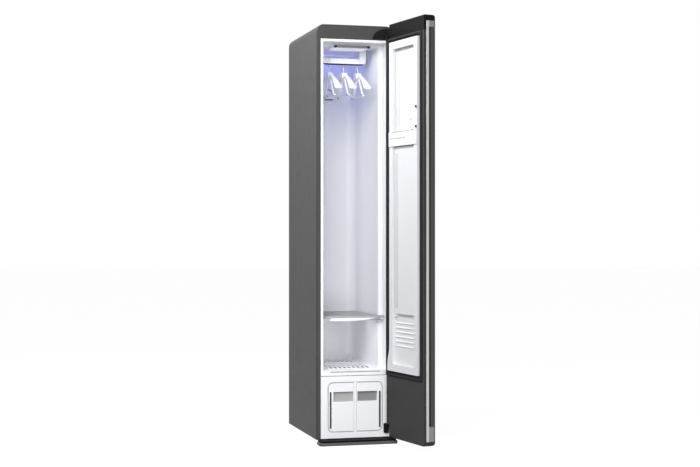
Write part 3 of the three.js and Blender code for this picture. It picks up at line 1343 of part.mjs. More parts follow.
// Block of upright fins on a common spine
function coil(front) {
  const x = aroundZero(COIL_HALF);
  const y = [behindFront(front), behindFront(front + COIL_DEPTH)];
  const pitch = length(x) / COIL_FINS;
  const points = [[x[0], y[1]], [x[0], y[0]]];
  for (let i = 0; i < COIL_FINS; i += 1) {
    const start = x[0] + i * pitch;
    const finEnd = start + pitch * COIL_FIN_SHARE;
    points.push([finEnd, y[0]], [finEnd, y[1] - COIL_SPINE]);
    if (i < COIL_FINS - 1) {
      points.push([start + pitch, y[1] - COIL_SPINE], [start + pitch, y[0]]);
    }
  }
  points.push([x[1], y[1] - COIL_SPINE], [x[1], y[1]]);
  return prismZ(outline(points), [FLOOR_OF_PAN, COIL_TOP]);
}

function compressor() {
  const y = behindFront(COMPRESSOR_Y);
  const plateBottom = FLOOR_OF_PAN + COMPRESSOR_PAD;
  const plateTop = plateBottom + COMPRESSOR_PLATE;
  const top = plateTop + COMPRESSOR_HEIGHT;
  const profile = [
    [0, plateTop - half(COMPRESSOR_PLATE)],
    [COMPRESSOR_RADIUS, plateTop - half(COMPRESSOR_PLATE)],
    [COMPRESSOR_RADIUS, top - COMPRESSOR_DOME],
    [COMPRESSOR_RADIUS - half(COMPRESSOR_DOME), top - half(COMPRESSOR_DOME)],
    [half(COMPRESSOR_RADIUS), top],
    [0, top],
  ];
  const can = turnedZ(profile, ROUND_SIDES, COMPRESSOR_X, y);
  const reach = COMPRESSOR_PLATE_HALF;
  const plate = block(
    [COMPRESSOR_X - reach, COMPRESSOR_X + reach],
    [y - reach, y + reach],
    [plateBottom, plateTop],
  );
  const padPlace = reach - COMPRESSOR_PAD_INSET;
  const pads = [];
  for (const sideX of [-1, 1]) {
    for (const sideY of [-1, 1]) {
      const padZ = [FLOOR_OF_PAN, plateBottom + half(COMPRESSOR_PLATE)];
      pads.push(rodZ(COMPRESSOR_PAD_RADIUS, padZ, COMPRESSOR_X + sideX * padPlace, y + sideY * padPlace));
    }
  }
  return fused(can, plate, ...pads);
}

// Snail housing of the blower, with its outlet under the rear grille
function fanHousing() {
  const x = aroundZero(SCROLL_HALF);
  const ductBack = FAN_CENTRE + SCROLL_RADIUS;
  const ductTop = FLOOR_Z - LINER_WALL - FIT;
  const ductFront = FAN_CENTRE - SCROLL_DUCT_REACH;
  const duct = block(x, [ductFront, ductBack], [FAN_Z, ductTop]);
  const scroll = rodX(SCROLL_RADIUS, x, FAN_CENTRE, FAN_Z, ROUND_SIDES);
  const footY = [FAN_CENTRE - SCROLL_FOOT_REACH, FAN_CENTRE + SCROLL_FOOT_REACH];
  const footZ = [FLOOR_OF_PAN, FAN_Z - SCROLL_RADIUS + SCROLL_WALL];
  const stand = block(aroundZero(SCROLL_FOOT_HALF), footY, footZ);
  const innerX = grown(x, -SCROLL_WALL);
  const room = rodX(SCROLL_RADIUS - SCROLL_WALL, innerX, FAN_CENTRE, FAN_Z, ROUND_SIDES);
  const ductRoom = block(
    innerX,
    [ductFront + SCROLL_WALL, ductBack - SCROLL_WALL],
    [FAN_Z, ductTop + OVERRUN],
  );
  const inlet = rodX(SCROLL_INLET, [x[0] - OVERRUN, innerX[0] + OVERRUN], FAN_CENTRE, FAN_Z, ROUND_SIDES);
  const shaftHole = rodX(
    WHEEL_SHAFT_RADIUS + SHAFT_CLEARANCE,
    [innerX[1] - OVERRUN, x[1] + OVERRUN],
    FAN_CENTRE,
    FAN_Z,
  );
  const flatBottom = block(grown(x, OVERRUN), footY, [FLOOR_OF_PAN - OVERRUN, FLOOR_OF_PAN]);
  return carved(fused(duct, scroll, stand), room, ductRoom, inlet, shaftHole, flatBottom);
}

// Drum wheel with a back disc, a front ring, blades and its shaft
function fanWheel() {
  const discX = WHEEL_HALF - WHEEL_SHEET;
  const shaftEnd = SCROLL_HALF + WHEEL_SHAFT_LENGTH;
  const profile = [
    [0, discX - WHEEL_HUB_LENGTH],
    [WHEEL_HUB_RADIUS, discX - WHEEL_HUB_LENGTH],
    [WHEEL_HUB_RADIUS, discX],
    [WHEEL_RADIUS, discX],
    [WHEEL_RADIUS, WHEEL_HALF],
    [WHEEL_SHAFT_RADIUS, WHEEL_HALF],
    [WHEEL_SHAFT_RADIUS, shaftEnd],
    [0, shaftEnd],
  ];
  const disc = turnedX(profile, ROUND_SIDES, FAN_CENTRE, FAN_Z);
  const ringX = [-WHEEL_HALF, -WHEEL_HALF + WHEEL_SHEET];
  const ringProfile = tubeProfile(WHEEL_RADIUS - WHEEL_RIM, WHEEL_RADIUS, ringX);
  const ring = turnedX(ringProfile, ROUND_SIDES, FAN_CENTRE, FAN_Z);
  const blades = [];
  for (let i = 0; i < WHEEL_BLADES; i += 1) {
    const reach = [WHEEL_RADIUS - WHEEL_RIM + WHEEL_BLADE, WHEEL_RADIUS - WHEEL_BLADE];
    const bladeX = [ringX[0] + half(WHEEL_SHEET), WHEEL_HALF - half(WHEEL_SHEET)];
    const blade = block(bladeX, reach, aroundZero(half(WHEEL_BLADE)));
    blade.rotateX((i / WHEEL_BLADES) * 2 * Math.PI);
    blades.push(blade.translate(0, FAN_CENTRE, FAN_Z));
  }
  return fused(disc, ring, ...blades);
}

function fanMotor() {
  const start = SCROLL_HALF + FIT;
  const end = start + FAN_MOTOR_LENGTH;
  const bore = WHEEL_SHAFT_RADIUS + SHAFT_CLEARANCE;
  const boreEnd = SCROLL_HALF + WHEEL_SHAFT_LENGTH + SLIDE_GAP;
  const profile = [
    [0, boreEnd],
    [bore, boreEnd],
    [bore, start],
    [FAN_MOTOR_RADIUS, start],
    [FAN_MOTOR_RADIUS, end],
    [0, end],
  ];
  return turnedX(profile, ROUND_SIDES, FAN_CENTRE, FAN_Z);
}

function steamGenerator() {
  const top = FLOOR_OF_PAN + BOILER_HEIGHT;
  const body = prismZ(roundedRectangle(BOILER_X, BOILER_Y, BOILER_CORNER), [FLOOR_OF_PAN, top]);
  const seat = rodZ(
    STEAM_PIPE_RADIUS + FIT,
    [top - STEAM_SEAT, top + OVERRUN],
    STEAM_X,
    behindFront(STEAM_Y),
  );
  return carved(body, seat);
}

// Pipe from the steam generator up to the nozzle on the chamber's floor
function steamPipe() {
  const bottom = FLOOR_OF_PAN + BOILER_HEIGHT - STEAM_SEAT + FIT;
  const floor = FLOOR_Z + FIT;
  const profile = [
    [STEAM_BORE, bottom],
    [STEAM_PIPE_RADIUS, bottom],
    [STEAM_PIPE_RADIUS, floor],
    [NOZZLE_RADIUS, floor],
    [NOZZLE_RADIUS, floor + NOZZLE_FLANGE],
    [STEAM_PIPE_RADIUS, floor + NOZZLE_HEIGHT],
    [STEAM_BORE, floor + NOZZLE_HEIGHT],
    [STEAM_BORE, bottom],
  ];
  return turnedZ(profile, SMALL_SIDES, STEAM_X, behindFront(STEAM_Y));
}

function waterPump() {
  const y = behindFront(PUMP_Y);
  const top = FLOOR_OF_PAN + PUMP_HEIGHT;
  const body = rodZ(PUMP_RADIUS, [FLOOR_OF_PAN, top], PUMP_X, y, ROUND_SIDES);
  const spout = rodZ(PUMP_SPOUT_RADIUS, [top - OVERRUN, top + PUMP_SPOUT_LENGTH], PUMP_X, y);
  const sideZ = top - PUMP_RADIUS;
  const side = rodY(PUMP_SPOUT_RADIUS, [y - PUMP_RADIUS - half(PUMP_SPOUT_LENGTH), y], PUMP_X, sideZ);
  return fused(body, spout, side);
}

function controlBoard() {
  const x = aroundZero(BOARD_HALF);
  const y = BOARD_Y;
  const bottom = SHAKER_FLOOR;
  const tray = block(x, y, [bottom, bottom + BOARD_RIM]);
  const insideZ = [bottom + BOARD_TRAY, bottom + BOARD_RIM + OVERRUN];
  const inside = block(grown(x, -BOARD_TRAY), grown(y, -BOARD_TRAY), insideZ);
  const blocks = [-1, 0, 1].map((place) => {
    const centre = place * (BOARD_HALF - BOARD_BLOCK);
    const deep = middle(y) + place * half(BOARD_BLOCK);
    return block(
      [centre - half(BOARD_BLOCK), centre + half(BOARD_BLOCK)],
      [deep - half(BOARD_BLOCK), deep + half(BOARD_BLOCK)],
      [bottom + half(BOARD_TRAY), bottom + BOARD_BLOCK_HEIGHT],
    );
  });
  return fused(carved(tray, inside), ...blocks);
}

// Quarter of an ellipse that stands on its flat edge, with its highest point at the hinge side
function quarterShape(end, width, z) {
  const shape = new THREE.Shape();
  shape.moveTo(end, z[0]);
  shape.lineTo(end, z[1]);
  shape.absellipse(end, z[0], width, length(z), Math.PI / 2, Math.PI, false);
  shape.closePath();
  return shape;
}

// Hinge bracket on the body: a plate, an arm that reaches under or over the door, and a pin
function hingeBracket(plateShape, armZ, pinZ) {
  const y = [FRONT - FIT - HINGE_PLATE, FRONT - FIT];
  const end = HINGE_X - HINGE_PLATE_END;
  const plate = prismY(plateShape, y);
  const arm = fused(
    block([HINGE_X - HINGE_ARM_RADIUS, HINGE_X + HINGE_ARM_RADIUS], [HINGE_Y, y[1]], armZ),
    rodZ(HINGE_ARM_RADIUS, armZ, HINGE_X, HINGE_Y, ROUND_SIDES),
    block([end - HINGE_PLATE_END, HINGE_X], y, armZ),
  );
  return fused(plate, arm, rodZ(HINGE_PIN_RADIUS, pinZ, HINGE_X, HINGE_Y));
}

const BOTTOM_ARM_Z = [
  DOOR_BOTTOM + NOTCH_HEIGHT - HINGE_ARM_GAP - HINGE_ARM_SHEET,
  DOOR_BOTTOM + NOTCH_HEIGHT - HINGE_ARM_GAP,
];
const TOP_ARM_Z = [
  TOTAL_HEIGHT - NOTCH_HEIGHT_TOP + HINGE_ARM_GAP,
  TOTAL_HEIGHT - NOTCH_HEIGHT_TOP + HINGE_ARM_GAP + HINGE_ARM_SHEET,
];

function bottomHinge() {
  const pinZ = [BOTTOM_ARM_Z[0] + FIT, BOTTOM_ARM_Z[1] + HINGE_ARM_GAP + HINGE_PIN_LENGTH];
  const end = HINGE_X - HINGE_PLATE_END;
  const plateZ = [BOTTOM_PLATE_BOTTOM, BOTTOM_PLATE_TOP];
  const shape = roundedRectangle([end - BOTTOM_PLATE_WIDTH, end], plateZ, half(half(BOTTOM_PLATE_WIDTH)));
  return hingeBracket(shape, BOTTOM_ARM_Z, pinZ);
}

function topHinge() {
  const pinZ = [TOP_ARM_Z[0] - HINGE_ARM_GAP - HINGE_PIN_LENGTH, TOP_ARM_Z[1] - FIT];
  const end = HINGE_X - HINGE_PLATE_END;
  const shape = quarterShape(end, TOP_PLATE_WIDTH, [TOP_PLATE_BOTTOM, TOP_PLATE_TOP]);
  return hingeBracket(shape, TOP_ARM_Z, pinZ);
}

// The door is drawn closed around the hinge axis. Its places run from the hinge-side edge towards the
// handle, and stand out from its inner face towards the body
const across = (from, to) => [HINGE_TO_EDGE - to, HINGE_TO_EDGE - from];
const proud = (from, to) => [HINGE_TO_FACE + from, HINGE_TO_FACE + to];
const DOOR_Z = [DOOR_BOTTOM, TOTAL_HEIGHT];
const HANDLE_X = across(DOOR_WIDTH - HANDLE_WIDTH, DOOR_WIDTH);
const SILVER_Y = proud(-DOOR_SKIN - FIT - SILVER_STRIP, -DOOR_SKIN - FIT);
const OUTER_Y = HINGE_TO_FACE - DOOR_THICK + GLASS_SHEET + FIT;

// Front outline of the door, with its lower handle-side corner round
function doorOutline(corner) {
  const x = across(0, DOOR_WIDTH);
  const shape = new THREE.Shape();
  shape.moveTo(x[1], DOOR_Z[0]);
  shape.lineTo(x[1], DOOR_Z[1]);
  shape.lineTo(x[0], DOOR_Z[1]);
  shape.absarc(x[0] + corner, DOOR_Z[0] + corner, corner, Math.PI, 1.5 * Math.PI, false);
  shape.closePath();
  return shape;
}

function hingeNotch(z) {
  return block([-NOTCH_REACH, HINGE_TO_EDGE + OVERRUN], [-NOTCH_DEPTH, HINGE_TO_FACE + OVERRUN], z);
}

// Door body: a tray open towards the glass, with a seat for the handle trim and for the white liner
function doorFrame() {
  const body = prismY(doorOutline(DOOR_CORNER), [OUTER_Y, HINGE_TO_FACE]);
  const seatX = [HANDLE_X[0] - OVERRUN, HANDLE_X[1] + FIT];
  const seatY = [OUTER_Y - OVERRUN, SILVER_Y[1] + FIT];
  const trimSeat = block(seatX, seatY, grown([SILVER_BOTTOM, SILVER_TOP], FIT));
  const grooveX = [HANDLE_X[0], HANDLE_X[0] + GRIP_GROOVE_DEPTH];
  const grooveY = [SILVER_Y[0] - GRIP_GROOVE, SILVER_Y[0]];
  const groove = block(grooveX, grooveY, [GROOVE_BOTTOM, GROOVE_TOP]);
  const skinY = HINGE_TO_FACE - DOOR_SKIN;
  const room = block(
    [grooveX[1] + DOOR_WALL, HINGE_TO_EDGE - DOOR_WALL],
    [OUTER_Y - OVERRUN, skinY],
    [DOOR_BOTTOM + DOOR_WALL, TOTAL_HEIGHT - DOOR_WALL],
  );
  const keepX = [-NOTCH_REACH - DOOR_WALL, HINGE_TO_EDGE];
  const bottomKeep = block(keepX, [OUTER_Y, HINGE_TO_FACE], [DOOR_BOTTOM, BOTTOM_ARM_Z[1] + HINGE_KEEP]);
  const topKeep = block(keepX, [OUTER_Y, HINGE_TO_FACE], [TOP_ARM_Z[0] - HINGE_KEEP, TOTAL_HEIGHT]);
  const shell = fused(carved(body, trimSeat, groove, room), bottomKeep, topKeep);
  const bore = HINGE_PIN_RADIUS + HINGE_PIN_CLEARANCE;
  const pinRoom = HINGE_PIN_LENGTH + HINGE_ARM_GAP;
  return carved(
    shell,
    hingeNotch([DOOR_BOTTOM - OVERRUN, DOOR_BOTTOM + NOTCH_HEIGHT]),
    hingeNotch([TOTAL_HEIGHT - NOTCH_HEIGHT_TOP, TOTAL_HEIGHT + OVERRUN]),
    rodZ(bore, [BOTTOM_ARM_Z[1], BOTTOM_ARM_Z[1] + pinRoom + SLIDE_GAP], 0, 0),
    rodZ(bore, [TOP_ARM_Z[0] - pinRoom - SLIDE_GAP, TOP_ARM_Z[0]], 0, 0),
    prismY(trayOpening(TRAY_WALL + FIT), proud(-TRAY_SINK - TRAY_WALL - FIT, OVERRUN)),
  );
}

function doorGlass() {
  return prismY(doorOutline(DOOR_CORNER), proud(-DOOR_THICK, -DOOR_THICK + GLASS_SHEET));
}

// Silver strip beside the grip groove, with its two end caps
function handleTrim() {
  const strip = block(HANDLE_X, SILVER_Y, [SILVER_BOTTOM, SILVER_TOP]);
  const capY = [OUTER_Y, SILVER_Y[0] + OVERRUN];
  return fused(
    strip,
    block(HANDLE_X, capY, [SILVER_BOTTOM, GROOVE_BOTTOM]),
    block(HANDLE_X, capY, [GROOVE_TOP, SILVER_TOP]),
  );
}

function handleRail() {
  return block(HANDLE_X, [OUTER_Y, SILVER_Y[0] - GRIP_GROOVE], [GROOVE_BOTTOM + FIT, GROOVE_TOP - FIT]);
}

function doorGasket() {
  const x = across(GASKET_START, DOOR_WIDTH - GASKET_START);
  const z = [GASKET_BOTTOM, GASKET_TOP];
  const y = proud(FIT, GASKET_HEIGHT);
  const ring = prismY(roundedRectangle(x, z, TRAY_CORNER), y);
  const insideShape = roundedRectangle(grown(x, -GASKET_WIDTH), grown(z, -GASKET_WIDTH), half(TRAY_CORNER));
  return carved(ring, prismY(insideShape, grown(y, OVERRUN)));
}

// Raised rim of the door's liner: straight on the handle side, waisted and flared on the hinge side
function trayOutline() {
  const hingeSide = HINGE_TO_EDGE - TRAY_WAIST_START;
  const flareSide = HINGE_TO_EDGE - TRAY_START;
  const handleSide = HINGE_TO_EDGE - TRAY_END;
  const flareMiddle = half(TRAY_FLARE_BOTTOM + TRAY_FLARE_TOP);
  const shape = new THREE.Shape();
  shape.moveTo(handleSide, TRAY_BOTTOM);
  shape.lineTo(flareSide, TRAY_BOTTOM);
  shape.lineTo(flareSide, TRAY_FLARE_BOTTOM);
  shape.bezierCurveTo(flareSide, flareMiddle, hingeSide, flareMiddle, hingeSide, TRAY_FLARE_TOP);
  shape.lineTo(hingeSide, TRAY_TOP);
  shape.lineTo(handleSide, TRAY_TOP);
  shape.closePath();
  return shape;
}

// The tray's sunken floor, grown by some distance
function trayOpening(grow) {
  const x = grown(across(TRAY_WAIST_START + TRAY_RIM, TRAY_END - TRAY_RIM), grow);
  const z = grown([TRAY_BOTTOM + TRAY_RIM, TRAY_TOP - TRAY_RIM], grow);
  return roundedRectangle(x, z, TRAY_CORNER + grow);
}

const FLAP_AXIS_U = TRAY_WAIST_START + TRAY_RIM + FLAP_SIDE_GAP + half(FLAP_SHEET);
const FLAP_AXIS_H = -TRAY_SINK + FLAP_LIFT + half(FLAP_SHEET);
const LATCH_AXIS_U = TRAY_WAIST_START + TRAY_CORNER;
const LATCH_AXIS_H = BAND_RISE - half(LATCH_SHEET);
const LATCH_Z = [BAND_BOTTOM + LATCH_LIP, BAND_BOTTOM + LATCH_LIP + LATCH_HEIGHT];

function doorLiner() {
  const rim = prismY(trayOutline(), proud(FIT, TRAY_RISE));
  const tub = prismY(trayOpening(TRAY_WALL), proud(-TRAY_SINK - TRAY_WALL, TRAY_RISE));
  const inside = prismY(trayOpening(0), proud(-TRAY_SINK, TRAY_RISE + OVERRUN));
  const bandZ = [BAND_BOTTOM, BAND_TOP];
  const band = block(across(TRAY_WAIST_START, TRAY_END), proud(FIT, BAND_RISE), bandZ);
  const sunkX = across(TRAY_WAIST_START + TRAY_RIM, TRAY_END - TRAY_RIM);
  const sunkBand = block(sunkX, proud(-TRAY_SINK - half(TRAY_WALL), BAND_RISE), bandZ);
  const lugX = across(TRAY_WAIST_START + TRAY_RIM - half(TRAY_WALL), FLAP_AXIS_U + half(FLAP_LUG_WIDTH));
  const lugZ = [FLAP_BOTTOM - FIT - FLAP_LUG, FLAP_BOTTOM - FIT];
  const lug = block(lugX, proud(-TRAY_SINK - half(TRAY_WALL), FLAP_AXIS_H + half(FLAP_SHEET)), lugZ);
  const latchX = across(LATCH_AXIS_U - half(LATCH_SHEET) - LATCH_GAP, LATCH_END + LATCH_GAP);
  const latchY = proud(BAND_RISE - LATCH_SHEET - LATCH_GAP, BAND_RISE + OVERRUN);
  const latchSeat = block(latchX, latchY, grown(LATCH_Z, LATCH_GAP));
  const flapX = HINGE_TO_EDGE - FLAP_AXIS_U;
  const flapY = HINGE_TO_FACE + FLAP_AXIS_H;
  const flapBore = FLAP_PIN_RADIUS + FIT;
  const latchPins = grown(LATCH_Z, LATCH_PIN + LATCH_GAP);
  return carved(
    fused(carved(fused(rim, tub), inside), band, sunkBand, lug),
    latchSeat,
    rodZ(LATCH_PIN_RADIUS + FIT, latchPins, HINGE_TO_EDGE - LATCH_AXIS_U, HINGE_TO_FACE + LATCH_AXIS_H),
    rodZ(flapBore, [lugZ[1] - FLAP_PIN - FIT, lugZ[1] + OVERRUN], flapX, flapY),
    rodZ(flapBore, [BAND_BOTTOM - OVERRUN, BAND_BOTTOM - FLAP_TOP_GAP + FLAP_PIN + FIT], flapX, flapY),
    rodY(KNOB_STEM_RADIUS + FIT, proud(-TRAY_SINK + FIT, OVERRUN), HINGE_TO_EDGE - KNOB_AT, KNOB_Z),
  );
}

// Pressing board: a plate with a round hinge edge and two pins
function pressFlap() {
  const z = [FLAP_BOTTOM, BAND_BOTTOM - FLAP_TOP_GAP];
  const end = TRAY_END - TRAY_RIM - FLAP_SIDE_GAP;
  const y = proud(FLAP_AXIS_H - half(FLAP_SHEET), FLAP_AXIS_H + half(FLAP_SHEET));
  const x = HINGE_TO_EDGE - FLAP_AXIS_U;
  const centreY = HINGE_TO_FACE + FLAP_AXIS_H;
  const plate = prismZ(outline([
    [x, y[0]],
    [x, y[1]],
    [HINGE_TO_EDGE - end, y[1]],
    [HINGE_TO_EDGE - end, y[0]],
  ]), z);
  return fused(
    plate,
    rodZ(half(FLAP_SHEET), z, x, centreY, ROUND_SIDES),
    rodZ(FLAP_PIN_RADIUS, grown(z, FLAP_PIN - FIT), x, centreY),
  );
}

function pressLatch() {
  const x = HINGE_TO_EDGE - LATCH_AXIS_U;
  const y = proud(BAND_RISE - LATCH_SHEET, BAND_RISE);
  const centreY = HINGE_TO_FACE + LATCH_AXIS_H;
  const plate = block([HINGE_TO_EDGE - LATCH_END, x], y, LATCH_Z);
  return fused(
    plate,
    rodZ(LATCH_BARREL, LATCH_Z, x, centreY, ROUND_SIDES),
    rodZ(LATCH_PIN_RADIUS, grown(LATCH_Z, LATCH_PIN), x, centreY),
  );
}

// Block that holds the trousers' waist, with a bore for its turning knob
function trouserHolder() {
  const x = across(HOLDER_START, TRAY_END - TRAY_RIM - FIT);
  const y = proud(-TRAY_SINK + FIT, HOLDER_RISE);
  const body = prismY(roundedRectangle(x, [HOLDER_BOTTOM, HOLDER_TOP], half(TRAY_CORNER)), y);
  return carved(body, rodY(KNOB_STEM_RADIUS + FIT, grown(y, OVERRUN), HINGE_TO_EDGE - KNOB_AT, KNOB_Z));
}

function holderKnob() {
  const back = HOLDER_RISE + FIT;
  const face = back + KNOB_HEIGHT - KNOB_BAR_HEIGHT;
  const profile = [
    [0, back - KNOB_STEM],
    [KNOB_STEM_RADIUS, back - KNOB_STEM],
    [KNOB_STEM_RADIUS, back],
    [KNOB_RADIUS, back],
    [KNOB_RADIUS, face],
    [0, face],
  ].map(([radius, height]) => [radius, HINGE_TO_FACE + height]);
  const x = HINGE_TO_EDGE - KNOB_AT;
  const disc = turnedY(profile, ROUND_SIDES, x, KNOB_Z);
  const barZ = [KNOB_Z - KNOB_RADIUS + KNOB_BAR, KNOB_Z + KNOB_RADIUS - KNOB_BAR];
  const barY = proud(face - half(KNOB_BAR_HEIGHT), back + KNOB_HEIGHT);
  const bar = block([x - half(KNOB_BAR), x + half(KNOB_BAR)], barY, barZ);
  return fused(disc, bar);
}

// Assembly
const cabinet = new THREE.Group();

function addPiece(parent, name, geometry, finish) {
  const mesh = new THREE.Mesh(geometry, new THREE.MeshStandardMaterial(finish));
  mesh.name = name;
  parent.add(mesh);
  return mesh;
}

function addBody() {
  addPiece(cabinet, 'floor_plate', floorPlate(), FRAME_GREY);
  addPiece(cabinet, 'base_pan', basePan(), STEEL);
  addPiece(cabinet, 'outer_case', outerCase(), CASE_GREY);
  addPiece(cabinet, 'front_frame', frontFrame(), FRAME_GREY);
  addPiece(cabinet, 'back_panel', backPanel(), STEEL);
  addPiece(cabinet, 'power_inlet', powerInlet(), BLACK);
  for (const [name, geometry] of Object.entries(linerPieces())) {
    addPiece(cabinet, name, geometry, WHITE);
  }
  addPiece(cabinet, 'hinge_top', topHinge(), BLACK);
  addPiece(cabinet, 'hinge_bottom', bottomHinge(), BLACK);
}

function addChamberFittings() {
  addPiece(cabinet, 'lamp_bezel', lampBezel(), DOOR_GREY);
  addPiece(cabinet, 'lamp_lens', lampLens(), LAMP_WHITE);
  addPiece(cabinet, 'blue_lamp', blueLamp(), LAMP_BLUE);
  addPiece(cabinet, 'fragrance_case', fragranceCase(), WHITE);
  addPiece(cabinet, 'fragrance_cap', fragranceCap(), SATIN_WHITE);
  addPiece(cabinet, 'shelf', shelf(), SHELF_GREY);
  addPiece(cabinet, 'shelf_apron', shelfApron(), WHITE);
  addPiece(cabinet, 'shelf_ledge_left', shelfLedge(-1), SHELF_GREY);
  addPiece(cabinet, 'shelf_ledge_right', shelfLedge(1), SHELF_GREY);
  addPiece(cabinet, 'lint_filter', lintFilter(), SATIN_WHITE);
  addPiece(cabinet, 'rear_grille', grillePlate(REAR_GRILLE_FRONT, REAR_GRILLE_BACK), SATIN_WHITE);
}

function addHangers() {
  addPiece(cabinet, 'shaker_frame', shakerFrame(), STEEL);
  addPiece(cabinet, 'shaker_motor', shakerMotor(), STEEL);
  addPiece(cabinet, 'shaker_crank', shakerCrank(), STEEL);
  addPiece(cabinet, 'hanger_bar', hangerBar(), DOOR_GREY);
  addPiece(cabinet, 'hanger_bar_cover', hangerBarCover(), WHITE);
  hangerPlaces(HANGER_COUNT, HANGER_PITCH).forEach((x, i) => {
    const hanger = new THREE.Group();
    hanger.position.set(x, BAR_CENTRE, HOOK_SEAT);
    addPiece(hanger, `hanger_hook_${i + 1}`, hangerHook(), STEEL);
    addPiece(hanger, `hanger_body_${i + 1}`, hangerBody(), WHITE).position.set(0, 0, -HANGER_HEAD_DROP);
    cabinet.add(hanger);
  });
}

function addMachinery() {
  addPiece(cabinet, 'lower_panel', lowerPanel(), WHITE);
  addPiece(cabinet, 'tank_bay', tankBay(), SATIN_WHITE);
  addPiece(cabinet, 'supply_tank', tank(-1), WHITE);
  addPiece(cabinet, 'drain_tank', tank(1), WHITE);
  addPiece(cabinet, 'evaporator', coil(EVAPORATOR_Y), ALUMINIUM);
  addPiece(cabinet, 'condenser', coil(CONDENSER_Y), ALUMINIUM);
  addPiece(cabinet, 'compressor', compressor(), BLACK);
  addPiece(cabinet, 'fan_housing', fanHousing(), SATIN_WHITE);
  addPiece(cabinet, 'fan_wheel', fanWheel(), DOOR_GREY);
  addPiece(cabinet, 'fan_motor', fanMotor(), STEEL);
  addPiece(cabinet, 'steam_generator', steamGenerator(), ALUMINIUM);
  addPiece(cabinet, 'steam_pipe', steamPipe(), SATIN_WHITE);
  addPiece(cabinet, 'water_pump', waterPump(), BLACK);
  addPiece(cabinet, 'control_board', controlBoard(), GREEN_BOARD);
}

function addDoor() {
  const door = new THREE.Group();
  door.position.set(HINGE_X, HINGE_Y, 0);
  door.rotation.z = THREE.MathUtils.degToRad(DOOR_OPEN_ANGLE);
  addPiece(door, 'door_frame', doorFrame(), DOOR_GREY);
  addPiece(door, 'door_glass', doorGlass(), TINTED_GLASS);
  addPiece(door, 'handle_trim', handleTrim(), SILVER);
  addPiece(door, 'handle_rail', handleRail(), FRAME_GREY);
  addPiece(door, 'door_gasket', doorGasket(), RUBBER);
  addPiece(door, 'door_liner', doorLiner(), WHITE);
  addPiece(door, 'press_flap', pressFlap(), WHITE);
  addPiece(door, 'press_latch', pressLatch(), WHITE);
  addPiece(door, 'trouser_holder', trouserHolder(), WHITE);
  addPiece(door, 'holder_knob', holderKnob(), SATIN_WHITE);
  cabinet.add(door);
}

addBody();
addChamberFittings();
addHangers();
addMachinery();
addDoor();

export default cabinet;
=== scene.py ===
"""Clothes care steam cabinet with its door open: the finish of every surface, in metres.

The front faces -Y, +X is the hinge side and +Z is up. Sizes come from the frame where it has them.
"""
import json
import math

import bmesh
import bpy
from mathutils import Matrix, Vector


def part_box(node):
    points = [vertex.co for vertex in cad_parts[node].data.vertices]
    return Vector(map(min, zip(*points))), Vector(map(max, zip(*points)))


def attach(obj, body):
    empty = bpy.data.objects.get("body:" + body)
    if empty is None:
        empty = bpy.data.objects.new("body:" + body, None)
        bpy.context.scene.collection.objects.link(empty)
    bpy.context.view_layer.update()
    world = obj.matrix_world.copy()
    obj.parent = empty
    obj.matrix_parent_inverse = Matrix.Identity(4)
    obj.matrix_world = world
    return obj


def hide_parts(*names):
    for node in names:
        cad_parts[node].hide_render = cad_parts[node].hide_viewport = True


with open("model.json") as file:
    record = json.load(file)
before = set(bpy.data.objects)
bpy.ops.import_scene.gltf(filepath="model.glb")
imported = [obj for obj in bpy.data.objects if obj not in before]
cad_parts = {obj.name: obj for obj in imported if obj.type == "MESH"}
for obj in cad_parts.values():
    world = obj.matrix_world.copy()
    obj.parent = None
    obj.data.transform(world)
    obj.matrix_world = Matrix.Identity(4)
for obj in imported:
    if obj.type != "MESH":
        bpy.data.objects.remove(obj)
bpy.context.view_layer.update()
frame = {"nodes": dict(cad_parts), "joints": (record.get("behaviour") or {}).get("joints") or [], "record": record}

NODES = frame["nodes"]
RECORD = frame["record"]
BODY_OF = {node: body for body, nodes in RECORD["behaviour"]["bodies"].items() for node in nodes}
SLOT_OF = {row["node"]: row["material_slot"] for row in RECORD["subparts"]}

# Camera, fitted to the edges of the body and the door in the photograph
CAMERA_PLACE = (-1.6332, -6.3, 0.9314)
CAMERA_TURN = math.radians(-14.96)
CAMERA_LENS = 72.45
CAMERA_SHIFT = -0.0013

# Mesh work
MERGE = 1e-6
FLAT_ANGLE = math.radians(0.5)
EDGE_ANGLE = math.radians(28)
SHARP_ANGLE = math.radians(38)
FILLET_ANGLE = math.radians(60)
ROUND_SIDES = 48
SMALL_SIDES = 24
CORNER_STEPS = 8
EDGE_SEGMENTS = 3
FEW_SEGMENTS = 2
FIT = 0.0003
FILM_GAP = FIT / 10
OVERRUN = 0.01  # of a cutting tool past what it cuts
ROOM_REACH = 1

# Widths of the rounded edges, from barely broken to round
EDGE = {
    "trace": 0.0002,
    "hair": 0.0003,
    "film": 0.0004,
    "sheet": 0.0005,
    "thin": 0.0006,
    "crisp": 0.0007,
    "small": 0.0008,
    "moulded": 0.0009,
    "firm": 0.001,
    "plain": 0.0012,
    "soft": 0.0015,
    "cushioned": 0.0016,
    "full": 0.0018,
    "plump": 0.002,
    "broad": 0.0022,
    "round": 0.0024,
}

